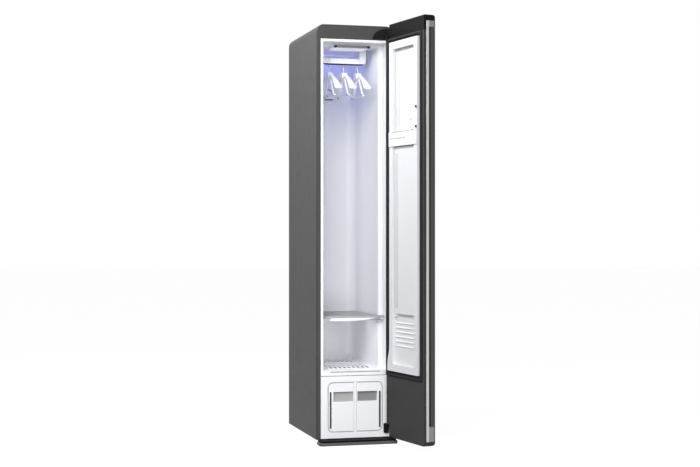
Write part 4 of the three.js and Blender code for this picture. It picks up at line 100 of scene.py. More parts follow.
# Nodes that keep their shape: the piece that stands for each, its rounded edges and its finish
COPIES = {
    "hinge_top": ("hinge_top_cover", "plain", "black_metal"),
    "hinge_bottom": ("hinge_bottom_cover", "round", "black_metal"),
    "power_inlet": ("inlet_gland", "small", "black_plastic"),
    "lamp_bezel": ("lamp_ring", "cushioned", "liner_white"),
    "lamp_lens": ("lamp_window", "small", "lamp_white"),
    "blue_lamp": ("blue_strip", "soft", "lamp_blue"),
    "shelf": ("shelf_tray_grid", "moulded", "shelf_grey"),
    "shelf_apron": ("shelf_crescent", "moulded", "liner_white"),
    "lint_filter": ("lint_frame", "small", "liner_white"),
    "rear_grille": ("air_grille", "small", "liner_white"),
    "hanger_bar_cover": ("bar_cover", "moulded", "liner_white"),
    "fragrance_cap": ("fragrance_lid", "small", "part_white"),
    "supply_tank": ("supply_tank_box", "moulded", "liner_white"),
    "drain_tank": ("drain_tank_box", "moulded", "liner_white"),
    "door_frame": ("door_body", "full", "door_shell"),
    "door_glass": ("door_pane", "firm", "tinted_glass"),
    "handle_rail": ("outer_rail", "plain", "frame_grey"),
    "door_liner": ("door_tray", "broad", "shaded_tray_white"),
    "press_flap": ("press_board", "cushioned", "shaded_tray_white"),
    "press_latch": ("latch_bar", "small", "liner_white"),
    "trouser_holder": ("waist_holder", "plump", "liner_white"),
    "holder_knob": ("waist_knob", "firm", "part_white"),
}
ROUNDED_WITH_DOOR = ("door_frame", "door_glass")
INNER_NODES = (
    "base_pan", "shaker_frame", "shaker_motor", "shaker_crank", "tank_bay", "evaporator", "condenser",
    "compressor", "fan_housing", "fan_wheel", "fan_motor", "steam_generator", "water_pump", "control_board",
)

# Body
CASE_WALL = 0.002
CASE_CORNER = 0.035
CASE_ROLL = 0.0045
ROLL_STEPS = 5
ARCH_STEPS = 12
MAT_INSET = 0.005
MAT_CORNER = 0.009
MAT_GAP = FIT / 3
MAT_HEIGHT = 0.001
TOE_GAP = 0.003
TOE_SETBACK = 0.002
PLATE_STEP = 0.006
PANEL_SEAM = 0.002

# Chamber
LINER_WALL = 0.0025
LINER_FILLET = 0.009
FILLET_SEGMENTS = 5
CHAMBER_CORNER = 0.04
CHAMBER_CORNER_STEPS = 12
MOUTH_DEPTH = 0.08
MOUTH_STEP = 0.014
MOUTH_EASE_STEPS = 10
MOUTH_INSET = 0.011
MOUTH_RISE = 0.01
MOUTH_CUT_DROP = 0.03
SLIT_HALF = 0.115
SLIT_BELOW_FLOOR = 0.0085
SLIT_HEIGHT = 0.004
SLIT_DEPTH = 0.0015
LAMP_HOLE_RISE = 0.004
ARM_SLOT_X = (-0.0285, 0.0165)  # from the hanger bar's end
ARM_SLOT_GAP = 0.0015
GRILLE_HOLE_INSET = 0.005
NOZZLE_HOLE_RADIUS = 0.0085

# Ceiling lamp
LAMP_BAR_DEPTH = 0.005
LAMP_BAR_HEIGHT = 0.0095
LAMP_BAR_DROP = 0.002
LAMP_BAR_CORNER = 0.005
LAMP_BAR_END = 0.015

# Black sheets under the floor grilles: painted shade that darkens their slots
SLOT_SHADE_INSET = {"lint_filter": 0.0105, "rear_grille": 0.0065}
SLOT_SHADE_BELOW_TOP = (0.0018, 0.0008)

# Hanger bar and hangers
GUSSET_START = 0.0735
GUSSET_RISE = 0.006
GUSSET_GAP = 0.002
HANGERS = (1, 2, 3)
HOOK_WIRE = 0.0022
HOOK_ARC_DEGREES = (-42, 190)
HOOK_STEPS = 40
HOOK_STEM_SHARE = 1.9
EASE_SHARE = 0.25
EASE_ROUNDS = 2
HANGER_NECK = (0.013, 0.02)
HANGER_TIP = (0.036, 0.011)
HANGER_REACH_SHARE = 0.88
HANGER_FALL = 0.068
HANGER_BOW_SHARE = 0.18
HANGER_FLARE_POWER = 1.6
HANGER_STATIONS = 18
SECTION_POINTS = 16
SECTION_POWER = 0.75
HOLLOW_SHARE = 0.4
HOLLOW_WIDTH_SHARE = 0.6
HOLLOW_POWER = 4
HANGER_HEAD = (0.019, 0.024)
HANGER_HEAD_WIDTH = 0.023
HANGER_HEAD_CORNER = 0.006
HANGER_STRUT = 0.007
HANGER_STRUT_SPREAD = (0.015, 0.078)
HANGER_ROD = 0.004
HANGER_ROD_REACH = 0.104
HANGER_CLIP_AT = 0.082
HANGER_CLIP_HALF_X = 0.0075
HANGER_CLIP_HALF_Y = 0.006
HANGER_CLIP_DROP = 0.0035
HANGER_CLIP_RISE = 0.0065

# Fragrance dish
DISH_RIM = 0.008
DISH_ROLL = 0.006
DISH_ROLL_STEPS = 6
DISH_FLOOR = 0.004
DISH_HUB_RADIUS = 0.0043
DISH_HUB_FLOOR = 0.002
LID_SETBACK = 0.006
MARK_RISE = 0.0006
MARK_RING = (0.0142, 0.0178)
MARK_DASH_HALF = 0.02
MARK_DASH_DROP = (0.034, 0.029)

# Tanks and the seam round them
GAUGE_INSET = (0.0082, 0.0165)
GAUGE_Z = (0.0663, 0.2277)
GAUGE_CORNER = 0.003
GAUGE_DEPTH = 0.0037
# Grey sheets in the grips' openings: painted shade, lighter on the left tank than on the right
GRIP_SHADE_SHEET_X = (0.0105, 0.0995)
GRIP_SHADE_SHEET_Z = (0.1855, 0.2275)
GRIP_SHADE_SHEET_CORNER = 0.002
GRIP_SHADE_SHEET_DEPTH = (0.012, 0.0215)
GRIP_SHADE = {-1: "painted_grip_shade", 1: "dark_grey_and_painted_shade"}
TANK_FACE_GAP = 0.001
TANK_WINDOW_CORNER = 0.022
SEAM = 0.0025
SEAM_INSET = 0.0015
SEAM_RISE = 0.0004

# Door
DOOR_OPEN = math.radians(100)
HINGE = next(joint for joint in frame["joints"] if joint["name"] == "door_hinge")
DOOR_PLACE = Matrix.Translation(Vector(HINGE["pos_m"])) @ Matrix.Rotation(DOOR_OPEN, 4, "Z")
DOOR_OUTER_CORNER = 0.012
DOOR_OUTER_STEPS = 8
DOOR_INNER_CORNER = 0.003
DOOR_INNER_STEPS = 4
SILVER_STRIP = 0.0128

# Door seal and the dark edges beside it
SEAL_WIDTH = 0.0115
SEAL_CORNER = 0.012
SEAL_FOOT_SHARE = 0.3
SEAL_NECK_SHARE = 0.42
SEAL_NECK_INSET_SHARE = 0.12
SEAL_BULB_STEPS = 10
SEAL_BULB_HALF_SHARE = 0.42
SEAL_BASE_BELOW_SEAL = 0.007
SEAL_BASE_HINGE_GAP = 0.02
SEAL_BASE_CORNER = 0.006
SEAL_BASE_HOLE_CORNER = 0.01
RIB_START = 0.0185
RIB_END = 0.0015
RIB_RISE = 0.0055
RIB_HEAD = 0.05

# Tray in the door
TRAY_RIM = 0.031
TRAY_WAIST = 0.019
TRAY_FLOOR_BELOW_FACE = 0.004
TRAY_FLOOR_LIFT = 0.0004
TRAY_RIB_COUNT = 6
TRAY_RIB_START = 0.11
TRAY_RIB_PITCH = 0.02
TRAY_RIB = 0.005
TRAY_RIB_HEIGHT = 0.003
LINE = 0.0025
LINE_RISE = 0.0004
HOLDER_ABOVE_BAND = 0.005
SHADE_WIDTH = 0.034
UPPER_SHADE_HEIGHT = 0.355
LOWER_SHADE_INSET = 0.034
CLIP_HEIGHTS = (1.466, 1.382)
CLIP_INSET = -0.001
CLIP_LENGTH = 0.011
CLIP_HALF = 0.005
CLIP_RISE = 0.003

# Surface texture
CLOUD_RANGE = (0.3, 0.7)
GLOSS_CLOUD_SCALE = 3
GRAIN_DETAIL = 2
GRAIN_DEPTH = 0.001
ALONG_Z = (1, 1, 0.03)
ALONG_X = (0.03, 1, 1)
DOOR_HEAD_SHARE = 0.05
LAMP_GLOW = 0.2
BLUE_GLOW = 0.35

# Studio
WORLD_LIGHT = 0.2
FLOOR_LEVEL = 90
FLOOR_LIFT = 0.965
FLOOR_REACH = 30
FLOOR_ROUGHNESS = 0.9

# Lamps outside the body: place, target, size and power in watts
STUDIO_LAMPS = {
    "high_left": ((-1.1, -0.3, 2.6), (-0.18, 0, 1.7), (0.6, 0.6), 38),
    "front_high": ((-1.5, -3.4, 2.9), (0, -0.2, 1), (1.6, 1.6), 112),
    "left_fill": ((-2.2, -3.4, 1.9), (0, -0.2, 1.1), (1.2, 1.2), 40),
    "front_low": ((0.05, -2.2, 0.35), (0.02, -0.28, 0.2), (0.9, 0.5), 9),
}

# Lamps inside the body: sizes, powers in watts, gaps under what they hang from and aims
SHELF_LAMP_SIZE = (0.2, 0.2)
SHELF_LAMP_POWER = 0.16
SHELF_LAMP_GAP = 0.01
SHELF_LAMP_Y = -0.12
CEILING_LAMP_SIZE = (0.14, 0.1)
CEILING_LAMP_POWER = 0.08
CEILING_LAMP_GAP = 0.004
CEILING_LAMP_AIM = (0.12, -1)  # backwards and down from the lamp
BLUE_LAMP_SIZE = (0.16, 0.02)
BLUE_LAMP_POWER = 0.15
BLUE_LAMP_COLOUR = (0.2, 0.24, 1)
BLUE_LAMP_AIM_BACK = 0.35
BLUE_LAMP_AIM_HEIGHT = 1.4

PLACE = {
    "X": lambda u, v, w: (w, u, v),
    "Y": lambda u, v, w: (u, w, v),
    "Z": lambda u, v, w: (u, v, w),
}


def placed(name, data):
    """A new object in the scene."""
    holder = bpy.data.objects.new(name, data)
    bpy.context.scene.collection.objects.link(holder)
    return holder


def mesh_piece(name, bm):
    """A new object from a bmesh, with its points merged and its faces turned outwards."""
    bmesh.ops.remove_doubles(bm, verts=bm.verts, dist=MERGE)
    bmesh.ops.recalc_face_normals(bm, faces=bm.faces)
    mesh = bpy.data.meshes.new(name)
    bm.to_mesh(mesh)
    bm.free()
    return placed(name, mesh)


def loft(name, rings, closed=False):
    """Skin over rings of equal length, with its ends filled unless the last ring joins the first."""
    bm = bmesh.new()
    rows = [[bm.verts.new(point) for point in ring] for ring in rings]
    if not closed:
        bm.faces.new(rows[0])
        bm.faces.new(reversed(rows[-1]))
    pairs = list(zip(rows, rows[1:]))
    if closed:
        pairs.append((rows[-1], rows[0]))
    for low, high in pairs:
        for i in range(len(low)):
            j = (i + 1) % len(low)
            bm.faces.new((low[i], low[j], high[j], high[i]))
    return mesh_piece(name, bm)


def prism(name, outline, axis, ends):
    """Straight piece with the same outline at both ends, laid along an axis."""
    place = PLACE[axis]
    return loft(name, [[place(u, v, w) for u, v in outline] for w in ends])


def block(name, x, y, z):
    return prism(name, [(x[0], y[0]), (x[1], y[0]), (x[1], y[1]), (x[0], y[1])], "Z", z)


def lathe(name, profile, axis, centre, sides=ROUND_SIDES):
    """Turned piece from places (radius, along the axis) that start and end on the axis or on each other."""
    place = PLACE[axis]
    bm = bmesh.new()
    rows = []
    for radius, along in profile:
        count = sides if radius else 1
        angles = [2 * math.pi * i / count for i in range(count)]
        points = [(centre[0] + radius * math.cos(a), centre[1] + radius * math.sin(a)) for a in angles]
        rows.append([bm.verts.new(place(u, v, along)) for u, v in points])
    for low, high in zip(rows, rows[1:]):
        for i in range(sides):
            j = (i + 1) % sides
            corners = [low[i % len(low)], low[j % len(low)], high[j % len(high)], high[i % len(high)]]
            corners = list(dict.fromkeys(corners))
            if len(corners) > 2:
                bm.faces.new(corners)
    return mesh_piece(name, bm)


def rod_profile(radius, ends):
    return [(0, ends[0]), (radius, ends[0]), (radius, ends[1]), (0, ends[1])]


def arc(centre, radius, start, end, steps):
    """Points of an arc between two angles in degrees."""
    angles = [math.radians(start + (end - start) * i / steps) for i in range(steps + 1)]
    return [(centre[0] + radius * math.cos(a), centre[1] + radius * math.sin(a)) for a in angles]


def corner_turns(u, v, corner, steps):
    """Centre and angle of each station round a rounded rectangle."""
    for pu, pv, start in [(u[1], v[0], -90), (u[1], v[1], 0), (u[0], v[1], 90), (u[0], v[0], 180)]:
        cu = pu - corner if pu == u[1] else pu + corner
        cv = pv - corner if pv == v[1] else pv + corner
        for i in range(steps + 1):
            yield cu, cv, math.radians(start + 90 * i / steps)


def rounded_rectangle(u, v, corner, steps=CORNER_STEPS):
    turns = corner_turns(u, v, corner, steps)
    return [(cu + corner * math.cos(a), cv + corner * math.sin(a)) for cu, cv, a in turns]


def rounded_block(name, u, v, corner, axis, ends):
    return prism(name, rounded_rectangle(u, v, corner), axis, ends)


def swept_ring(name, u, v, corner, profile, axis, steps=CORNER_STEPS):
    """A profile of places (inset, along the axis) led round a rounded rectangle."""
    place = PLACE[axis]
    rings = []
    for cu, cv, a in corner_turns(u, v, corner, steps):
        ring = []
        for inset, along in profile:
            reach = corner - inset
            ring.append(place(cu + reach * math.cos(a), cv + reach * math.sin(a), along))
        rings.append(ring)
    return loft(name, rings, closed=True)


def tube(name, points, radius, sides=SMALL_SIDES):
    """Round wire through a chain of points."""
    curve = bpy.data.curves.new(name, "CURVE")
    curve.dimensions = "3D"
    curve.bevel_depth = radius
    curve.bevel_resolution = sides // 4
    curve.use_fill_caps = True
    spline = curve.splines.new("POLY")
    spline.points.add(len(points) - 1)
    for spot, point in zip(spline.points, points):
        spot.co = (*point, 1)
    carrier = placed(name, curve)
    graph = bpy.context.evaluated_depsgraph_get()
    bm = bmesh.new()
    bm.from_mesh(bpy.data.meshes.new_from_object(carrier.evaluated_get(graph), depsgraph=graph))
    bpy.data.objects.remove(carrier)
    return mesh_piece(name, bm)


def apply_modifiers(piece):
    graph = bpy.context.evaluated_depsgraph_get()
    mesh = bpy.data.meshes.new_from_object(piece.evaluated_get(graph), depsgraph=graph)
    piece.modifiers.clear()
    old = piece.data
    piece.data = mesh
    bpy.data.meshes.remove(old)
    return piece


def combine(piece, operation, tools):
    for tool in tools:
        step = piece.modifiers.new("combine", "BOOLEAN")
        step.operation = operation
        step.solver = "EXACT"
        step.object = tool
    apply_modifiers(piece)
    for tool in tools:
        bpy.data.objects.remove(tool)
    return piece


def cut(piece, *tools):
    return combine(piece, "DIFFERENCE", tools)


def joined(piece, *others):
    return combine(piece, "UNION", others)


def smooth(piece, angle=SHARP_ANGLE):
    piece.data.shade_smooth()
    piece.data.set_sharp_from_angle(angle=angle)
    weigh = piece.modifiers.new("normals", "WEIGHTED_NORMAL")
    weigh.keep_sharp = True
    return apply_modifiers(piece)


def bevelled(piece, width, segments, angle):
    """Rounds the edges that turn by more than an angle."""
    bevel = piece.modifiers.new("edges", "BEVEL")
    bevel.width = width
    bevel.segments = segments
    bevel.limit_method = "ANGLE"
    bevel.angle_limit = angle
    return apply_modifiers(piece)


def soften(piece, edge, segments=EDGE_SEGMENTS):
    """Rounds the edges to a width from the table, then shades the flat faces flat."""
    return smooth(bevelled(piece, EDGE[edge], segments, EDGE_ANGLE))


def copied(node, name):
    """A new piece with a CAD node's faces, joined where they are flat."""
    bm = bmesh.new()
    bm.from_mesh(NODES[node].data)
    bmesh.ops.remove_doubles(bm, verts=bm.verts, dist=MERGE)
    bmesh.ops.dissolve_limit(bm, angle_limit=FLAT_ANGLE, verts=bm.verts, edges=bm.edges)
    piece = mesh_piece(name, bm)
    if "custom_normal" in piece.data.attributes:
        piece.data.attributes.remove(piece.data.attributes["custom_normal"])
    return piece


def merged(name, pieces):
    """One piece from several separate closed ones."""
    bm = bmesh.new()
    for piece in pieces:
        bm.from_mesh(piece.data)
        bpy.data.objects.remove(piece)
    return mesh_piece(name, bm)


def dress(piece, finish, body, slot, *nodes):
    piece.data.materials.clear()
    piece.data.materials.append(FINISH[finish])
    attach(piece, body)
    if nodes:
        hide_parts(*nodes)
    return piece


def stand_in(piece, finish, *nodes):
    """The piece takes the body of the CAD nodes that it stands for, which are hidden."""
    return dress(piece, finish, BODY_OF[nodes[0]], SLOT_OF[nodes[0]], *nodes)


def span(node, axis):
    low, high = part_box(node)
    return low[axis], high[axis]


def grown(pair, by):
    return pair[0] - by, pair[1] + by


def round_about(value, by):
    return value - by, value + by


def middle(pair):
    return (pair[0] + pair[1]) / 2


def centre_of(node, *axes):
    return tuple(middle(span(node, axis)) for axis in axes)


def slab(node, z):
    """A tool that covers a node's whole plan between two heights."""
    return block("tool", grown(span(node, 0), FIT), grown(span(node, 1), FIT), z)


# Materials
def linear(level):
    """An sRGB level from 0 to 255 as scene-linear light."""
    share = level / 255
    return share / 12.92 if share <= 0.04045 else ((share + 0.055) / 1.055) ** 2.4


def tone(*levels):
    """Grey from one level, or a colour from three."""
    levels = levels * 3 if len(levels) == 1 else levels
    return tuple(linear(level) for level in levels)


def set_inputs(node, values):
    for name, value in values.items():
        node.inputs[name].default_value = value


def noise(tree, scale, stretch, detail=4):
    coordinates = tree.nodes.new("ShaderNodeTexCoord")
    mapping = tree.nodes.new("ShaderNodeMapping")
    set_inputs(mapping, {"Scale": stretch})
    texture = tree.nodes.new("ShaderNodeTexNoise")
    set_inputs(texture, {"Scale": scale, "Detail": detail})
    tree.links.new(coordinates.outputs["Object"], mapping.inputs["Vector"])
    tree.links.new(mapping.outputs["Vector"], texture.inputs["Vector"])
    return texture.outputs["Fac"]


def math_node(tree, operation, *values):
    """Result of a Math node whose inputs are numbers or other nodes' outputs."""
    node = tree.nodes.new("ShaderNodeMath")
    node.operation = operation
    for socket, value in zip(node.inputs, values):
        if isinstance(value, bpy.types.NodeSocket):
            tree.links.new(value, socket)
        else:
            socket.default_value = value
    return node.outputs["Value"]


def cloudy_colour(tree, cloud, colour, mottle):
    """The colour, a little darker and lighter from place to place."""
    ramp = tree.nodes.new("ShaderNodeValToRGB")
    for stop, position, sign in zip(ramp.color_ramp.elements, CLOUD_RANGE, (-1, 1)):
        stop.position = position
        stop.color = (*[min(1, value * (1 + sign * mottle)) for value in colour], 1)
    tree.links.new(cloud, ramp.inputs["Fac"])
    return ramp.outputs["Color"]


def surface(name, colour, roughness, metallic=0, gloss=0.5, mottle=0.04, mottle_scale=9,
            grain=0.04, grain_scale=900, stretch=(1, 1, 1), spread=0.05, coat=0):
    """Satin material with slight cloudiness of its colour and gloss and a fine surface grain."""
    finish = bpy.data.materials.new(name)
    finish.use_nodes = True
    tree = finish.node_tree
    shader = tree.nodes["Principled BSDF"]
    set_inputs(shader, {"Metallic": metallic, "Specular IOR Level": gloss, "Coat Weight": coat})
    cloud = noise(tree, mottle_scale, stretch)
    tree.links.new(cloudy_colour(tree, cloud, colour, mottle), shader.inputs["Base Color"])
    level = tree.nodes.new("ShaderNodeMapRange")
    set_inputs(level, {"To Min": roughness - spread, "To Max": roughness + spread})
    tree.links.new(noise(tree, mottle_scale * GLOSS_CLOUD_SCALE, stretch), level.inputs["Value"])
    tree.links.new(level.outputs["Result"], shader.inputs["Roughness"])
    bump = tree.nodes.new("ShaderNodeBump")
    set_inputs(bump, {"Strength": grain, "Distance": GRAIN_DEPTH})
    tree.links.new(noise(tree, grain_scale, stretch, GRAIN_DETAIL), bump.inputs["Height"])
    tree.links.new(bump.outputs["Normal"], shader.inputs["Normal"])
    return finish


def darker_above(finish, height, share):
    """The finish, with its colour dimmed to a share of itself above a height."""
    tree = finish.node_tree
    base = tree.nodes["Principled BSDF"].inputs["Base Color"]
    colour = base.links[0].from_socket
    place = tree.nodes.new("ShaderNodeNewGeometry")
    split = tree.nodes.new("ShaderNodeSeparateXYZ")
    tree.links.new(place.outputs["Position"], split.inputs["Vector"])
    above = math_node(tree, "GREATER_THAN", split.outputs["Z"], height)
    dimming = math_node(tree, "MULTIPLY_ADD", above, share - 1, 1)
    dimmed = tree.nodes.new("ShaderNodeVectorMath")
    dimmed.operation = "SCALE"
    tree.links.new(colour, dimmed.inputs["Vector"])
    tree.links.new(dimming, dimmed.inputs["Scale"])
    tree.links.new(dimmed.outputs["Vector"], base)


def glowing(finish, colour, strength):
    shader = finish.node_tree.nodes["Principled BSDF"]
    set_inputs(shader, {"Emission Color": (*colour, 1), "Emission Strength": strength})


FINISH = {
    "case_grey": surface("painted_case", tone(62), 0.5, gloss=0.15, grain=0.1, grain_scale=700),
    "frame_grey": surface("frame_plastic", tone(64), 0.5, gloss=0.25, stretch=ALONG_X, grain=0.08),
    "door_grey": surface("door_plastic", tone(52), 0.55, gloss=0.15, grain=0.1),
    "door_shell": surface("door_shell", tone(52), 0.55, gloss=0.12, grain=0.1),
    "liner_white": surface("liner_plastic", tone(240, 241, 245), 0.32, mottle=0.008, grain=0.02),
    "part_white": surface("part_plastic", tone(232, 233, 238), 0.42, mottle=0.012, grain=0.04),
    # Painted shade: the liner's white, darkened on the door's tray and pressing board, which the front lamp lights
    # more strongly
    "shaded_tray_white": surface("shaded_tray_plastic", tone(208, 209, 212), 0.4, mottle=0.008, grain=0.02),
    "shelf_grey": surface("shelf_plastic", tone(160, 161, 166), 0.38, mottle=0.03),
    "black_plastic": surface("black_plastic", tone(24, 24, 25), 0.5, gloss=0.3, grain=0.15),
    "black_metal": surface("black_metal", tone(20, 20, 21), 0.55, gloss=0.12, grain=0.12),
    "tinted_glass": surface("tinted_glass", tone(26, 28, 30), 0.09, coat=1, mottle=0.05, grain=0.004),
    "silver_trim": surface("brushed_silver", tone(186, 186, 183), 0.34, metallic=1, stretch=ALONG_Z,
                           grain=0.1),
    "steel": surface("steel", tone(176, 179, 183), 0.36, metallic=1, grain=0.06),
    "dark_rubber": surface("rubber", tone(36, 36, 37), 0.75, gloss=0.2, grain=0.12),
    "lamp_white": surface("lamp_lens", tone(236, 237, 240), 0.3, mottle=0.01),
    "lamp_blue": surface("blue_lens", tone(180, 184, 225), 0.3, mottle=0.01),
    "coil_aluminium": surface("aluminium", tone(190, 194, 197), 0.42, metallic=1, grain=0.1),
    "board_green": surface("circuit_board", tone(46, 92, 70), 0.5, mottle=0.2, mottle_scale=60),
    # black of the dark pieces at the foot, and painted shade in the floor grilles' slots
    "black_and_slot_shade": surface("slot_shadow", tone(14), 0.8, gloss=0.1),
    "smoked": surface("smoked_window", tone(52, 53, 55), 0.5, gloss=0.2),
    # Painted shade in the tanks' grips; the darker grey also shades the chamber's slit and is the lamp bar's own
    # colour
    "painted_grip_shade": surface("painted_grip_shade", tone(166), 0.5),
    "dark_grey_and_painted_shade": surface("dark_grey_and_painted_shade", tone(128), 0.5),
    "dull_silver": surface("end_cap", tone(128, 128, 127), 0.45, metallic=0.6, grain=0.1),
    "zinc": surface("zinc_sheet", tone(150, 152, 155), 0.45, metallic=0.9, mottle=0.12, mottle_scale=40),
    "plate_paint": surface("plate_paint", tone(88), 0.5, gloss=0.2),
    "seam_grey": surface("seam", tone(150), 0.6, gloss=0.2),
    # painted shade on the door's tray
    "tray_shade": surface("tray_shade", tone(190, 191, 194), 0.5, mottle=0.01),
    "seal_base": surface("seal_base", tone(10), 0.6, gloss=0.15),
}
darker_above(FINISH["door_shell"], span("door_gasket", 2)[1] + FIT, DOOR_HEAD_SHARE)
glowing(FINISH["lamp_white"], tone(255), LAMP_GLOW)
glowing(FINISH["lamp_blue"], tone(170, 176, 235), BLUE_GLOW)


# Body
def arch_stations(reach, bottom, top, corner):
    """Functions from an inset to a place (x, z), in order along an arch from its right foot to its left."""
    def foot(side):
        return lambda inset: (side * (reach - inset), bottom)

    def turned(side, angle):
        centre = (side * (reach - corner), top - corner)
        return lambda inset: (
            centre[0] + (corner - inset) * math.cos(angle),
            centre[1] + (corner - inset) * math.sin(angle),
        )

    stations = [foot(1)]
    for side, start in ((1, 0), (-1, 90)):
        stations += [turned(side, math.radians(start + 90 * i / ARCH_STEPS)) for i in range(ARCH_STEPS + 1)]
    return stations + [foot(-1)]


def case_arch():
    low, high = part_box("outer_case")
    return arch_stations(high.x, low.z, high.z, CASE_CORNER)


def case_shell():
    """Bent sheet of the sides and top, rolled inwards at the front."""
    front, back = span("outer_case", 1)
    turn = (CASE_ROLL, front + CASE_ROLL)
    profile = [(0, back)]
    profile += arc(turn, CASE_ROLL, 180, 270, ROLL_STEPS)
    profile += arc(turn, CASE_ROLL - CASE_WALL, 270, 180, ROLL_STEPS)
    profile.append((CASE_WALL, back))
    rings = []
    for place in case_arch():
        rings.append([(place(inset)[0], y, place(inset)[1]) for inset, y in profile])
    stand_in(smooth(loft("case_shell", rings)), "case_grey", "outer_case")


def front_surround():
    """Frame round the mouth: an upside-down U inside the rolled edge of the case."""
    reach = span("liner_collar", 0)[1] + FIT
    top = span("liner_collar", 2)[1] + FIT
    outline = [place(CASE_ROLL + FIT) for place in case_arch()]
    bottom = outline[0][1]
    outline += [(-reach, bottom), (-reach, top), (reach, top), (reach, bottom)]
    piece = prism("front_surround", outline, "Y", span("front_frame", 1))
    stand_in(soften(piece, "plain"), "frame_grey", "front_frame")


def plate_pieces():
    """Grey foot plate, a black step on it that stands back from its edge, and a black mat."""
    x = span("floor_plate", 0)
    front = span("floor_plate", 1)[0]
    top = span("floor_plate", 2)[1]
    body_front = span("front_frame", 1)[0]
    step_bottom = top - PLATE_STEP
    plate = cut(copied("floor_plate", "plate"), slab("floor_plate", (step_bottom, top + FIT)))
    stand_in(soften(plate, "broad"), "plate_paint", "floor_plate")
    step_y = (front + PLATE_STEP, body_front)
    step_z = (step_bottom + FIT, top)
    step = rounded_block("plate_step", grown(x, -PLATE_STEP), step_y, MAT_CORNER, "Z", step_z)
    dress(soften(step, "firm"), "black_and_slot_shade", "cabinet", "black_plastic")
    mat_y = (front + MAT_INSET, body_front - FIT)
    mat_z = (top + MAT_GAP, top + MAT_HEIGHT)
    mat = rounded_block("toe_mat", grown(x, -MAT_INSET), mat_y, MAT_CORNER, "Z", mat_z)
    dress(soften(mat, "film", FEW_SEGMENTS), "black_and_slot_shade", "cabinet", "black_plastic")


def rear_sheet():
    stand_in(soften(copied("back_panel", "rear_sheet"), "film", FEW_SEGMENTS), "zinc", "back_panel")


# Chamber
def chamber_plan(grow, front):
    """Plan of the chamber: a wide mouth, a soft step and a narrower room with round back corners."""
    mouth = span("liner_collar", 0)[1] - MOUTH_INSET + FIT + grow
    room = span("liner_back", 0)[1] - LINER_WALL + grow
    back = span("liner_back", 1)[1] - LINER_WALL + grow
    start = span("liner_collar", 1)[0] + MOUTH_DEPTH + grow
    side = [(mouth, front), (mouth, start - MOUTH_STEP)]
    for i in range(1, MOUTH_EASE_STEPS + 1):
        ease = (1 - math.cos(math.pi * i / MOUTH_EASE_STEPS)) / 2
        depth = start - MOUTH_STEP + 2 * MOUTH_STEP * i / MOUTH_EASE_STEPS
        side.append((mouth + (room - mouth) * ease, depth))
    corner = CHAMBER_CORNER + grow
    side += arc((room - corner, back - corner), corner, 0, 90, CHAMBER_CORNER_STEPS)
    return side + [(-x, y) for x, y in reversed(side)]


def mouth_x():
    reach = span("liner_collar", 0)[1] - MOUTH_INSET + FIT
    return -reach, reach


def slit_z():
    """Heights of the slit in the front edge of the chamber's floor."""
    low = span("liner_floor", 2)[1] - SLIT_BELOW_FLOOR
    return low, low + SLIT_HEIGHT


def chamber_body(front, z):
    """Flange, shell and the higher part of the shell behind the flange, in one solid."""
    flange = block("chamber", span("liner_collar", 0), (front, front + LINER_WALL), span("liner_collar", 2))
    shell = prism("shell", chamber_plan(LINER_WALL, front + FIT), "Z", grown(z, LINER_WALL))
    raised = block("raised", grown(mouth_x(), LINER_WALL), (front + FIT, front + MOUTH_DEPTH + LINER_WALL),
                   (z[1], z[1] + MOUTH_RISE + LINER_WALL))
    return joined(flange, shell, raised)


def chamber_hollow(front, z):
    """Tools for the room, with its fillets, and for the higher mouth."""
    room = prism("room", chamber_plan(0, front - OVERRUN), "Z", z)
    bevelled(room, LINER_FILLET, FILLET_SEGMENTS, FILLET_ANGLE)
    high_mouth = block("high_mouth", mouth_x(), (front - OVERRUN, front + MOUTH_DEPTH - MOUTH_STEP),
                       (z[1] - MOUTH_CUT_DROP, z[1] + MOUTH_RISE))
    return [room, high_mouth]


def chamber_openings(front, floor, ceiling):
    """Tools for the slit, the lamp, the nozzle, the bar's two arms and the two floor grilles."""
    through = round_about(floor, OVERRUN)
    above = round_about(ceiling, OVERRUN)
    slit = block("slit", (-SLIT_HALF, SLIT_HALF), (front - OVERRUN, front + SLIT_DEPTH), slit_z())
    lamp = block("lamp_hole", span("lamp_lens", 0), span("lamp_lens", 1),
                 (ceiling - OVERRUN, ceiling + LAMP_HOLE_RISE))
    pipe = centre_of("steam_pipe", 0, 1)
    nozzle = lathe("nozzle_hole", rod_profile(NOZZLE_HOLE_RADIUS, through), "Z", pipe, SMALL_SIDES)
    tools = [slit, lamp, nozzle]
    bar_end = span("hanger_bar", 0)[1]
    bar_y = (middle(span("hanger_bar_cover", 1)), span("hanger_bar", 1)[1])
    for side in (-1, 1):
        x = sorted(side * (bar_end + reach) for reach in ARM_SLOT_X)
        tools.append(block("arm_slot", x, grown(bar_y, ARM_SLOT_GAP), above))
    for node in ("lint_filter", "rear_grille"):
        x = grown(span(node, 0), -GRILLE_HOLE_INSET)
        tools.append(block("grille_hole", x, grown(span(node, 1), -GRILLE_HOLE_INSET), through))
    return tools


def chamber():
    """White moulded chamber with its flange, in one piece."""
    front = span("liner_collar", 1)[0]
    z = (span("liner_floor", 2)[1], span("liner_ceiling", 2)[0])
    piece = chamber_body(front, z)
    cut(piece, *chamber_hollow(front, z), *chamber_openings(front, *z))
    nodes = ["liner_" + part for part in ("collar", "left", "right", "back", "ceiling", "floor")]
    stand_in(soften(piece, "firm"), "liner_white", *nodes)


def lip_shadow():
    """Grey strip at the bottom of the slit in the front edge of the chamber's floor: painted shade in the slit."""
    front = span("liner_collar", 1)[0]
    y = (front + SLIT_DEPTH / 2, front + SLIT_DEPTH)
    strip = block("lip_shadow", (-SLIT_HALF, SLIT_HALF), y, grown(slit_z(), -FIT))
    dress(soften(strip, "trace", FEW_SEGMENTS), "dark_grey_and_painted_shade", "cabinet", "black_plastic")


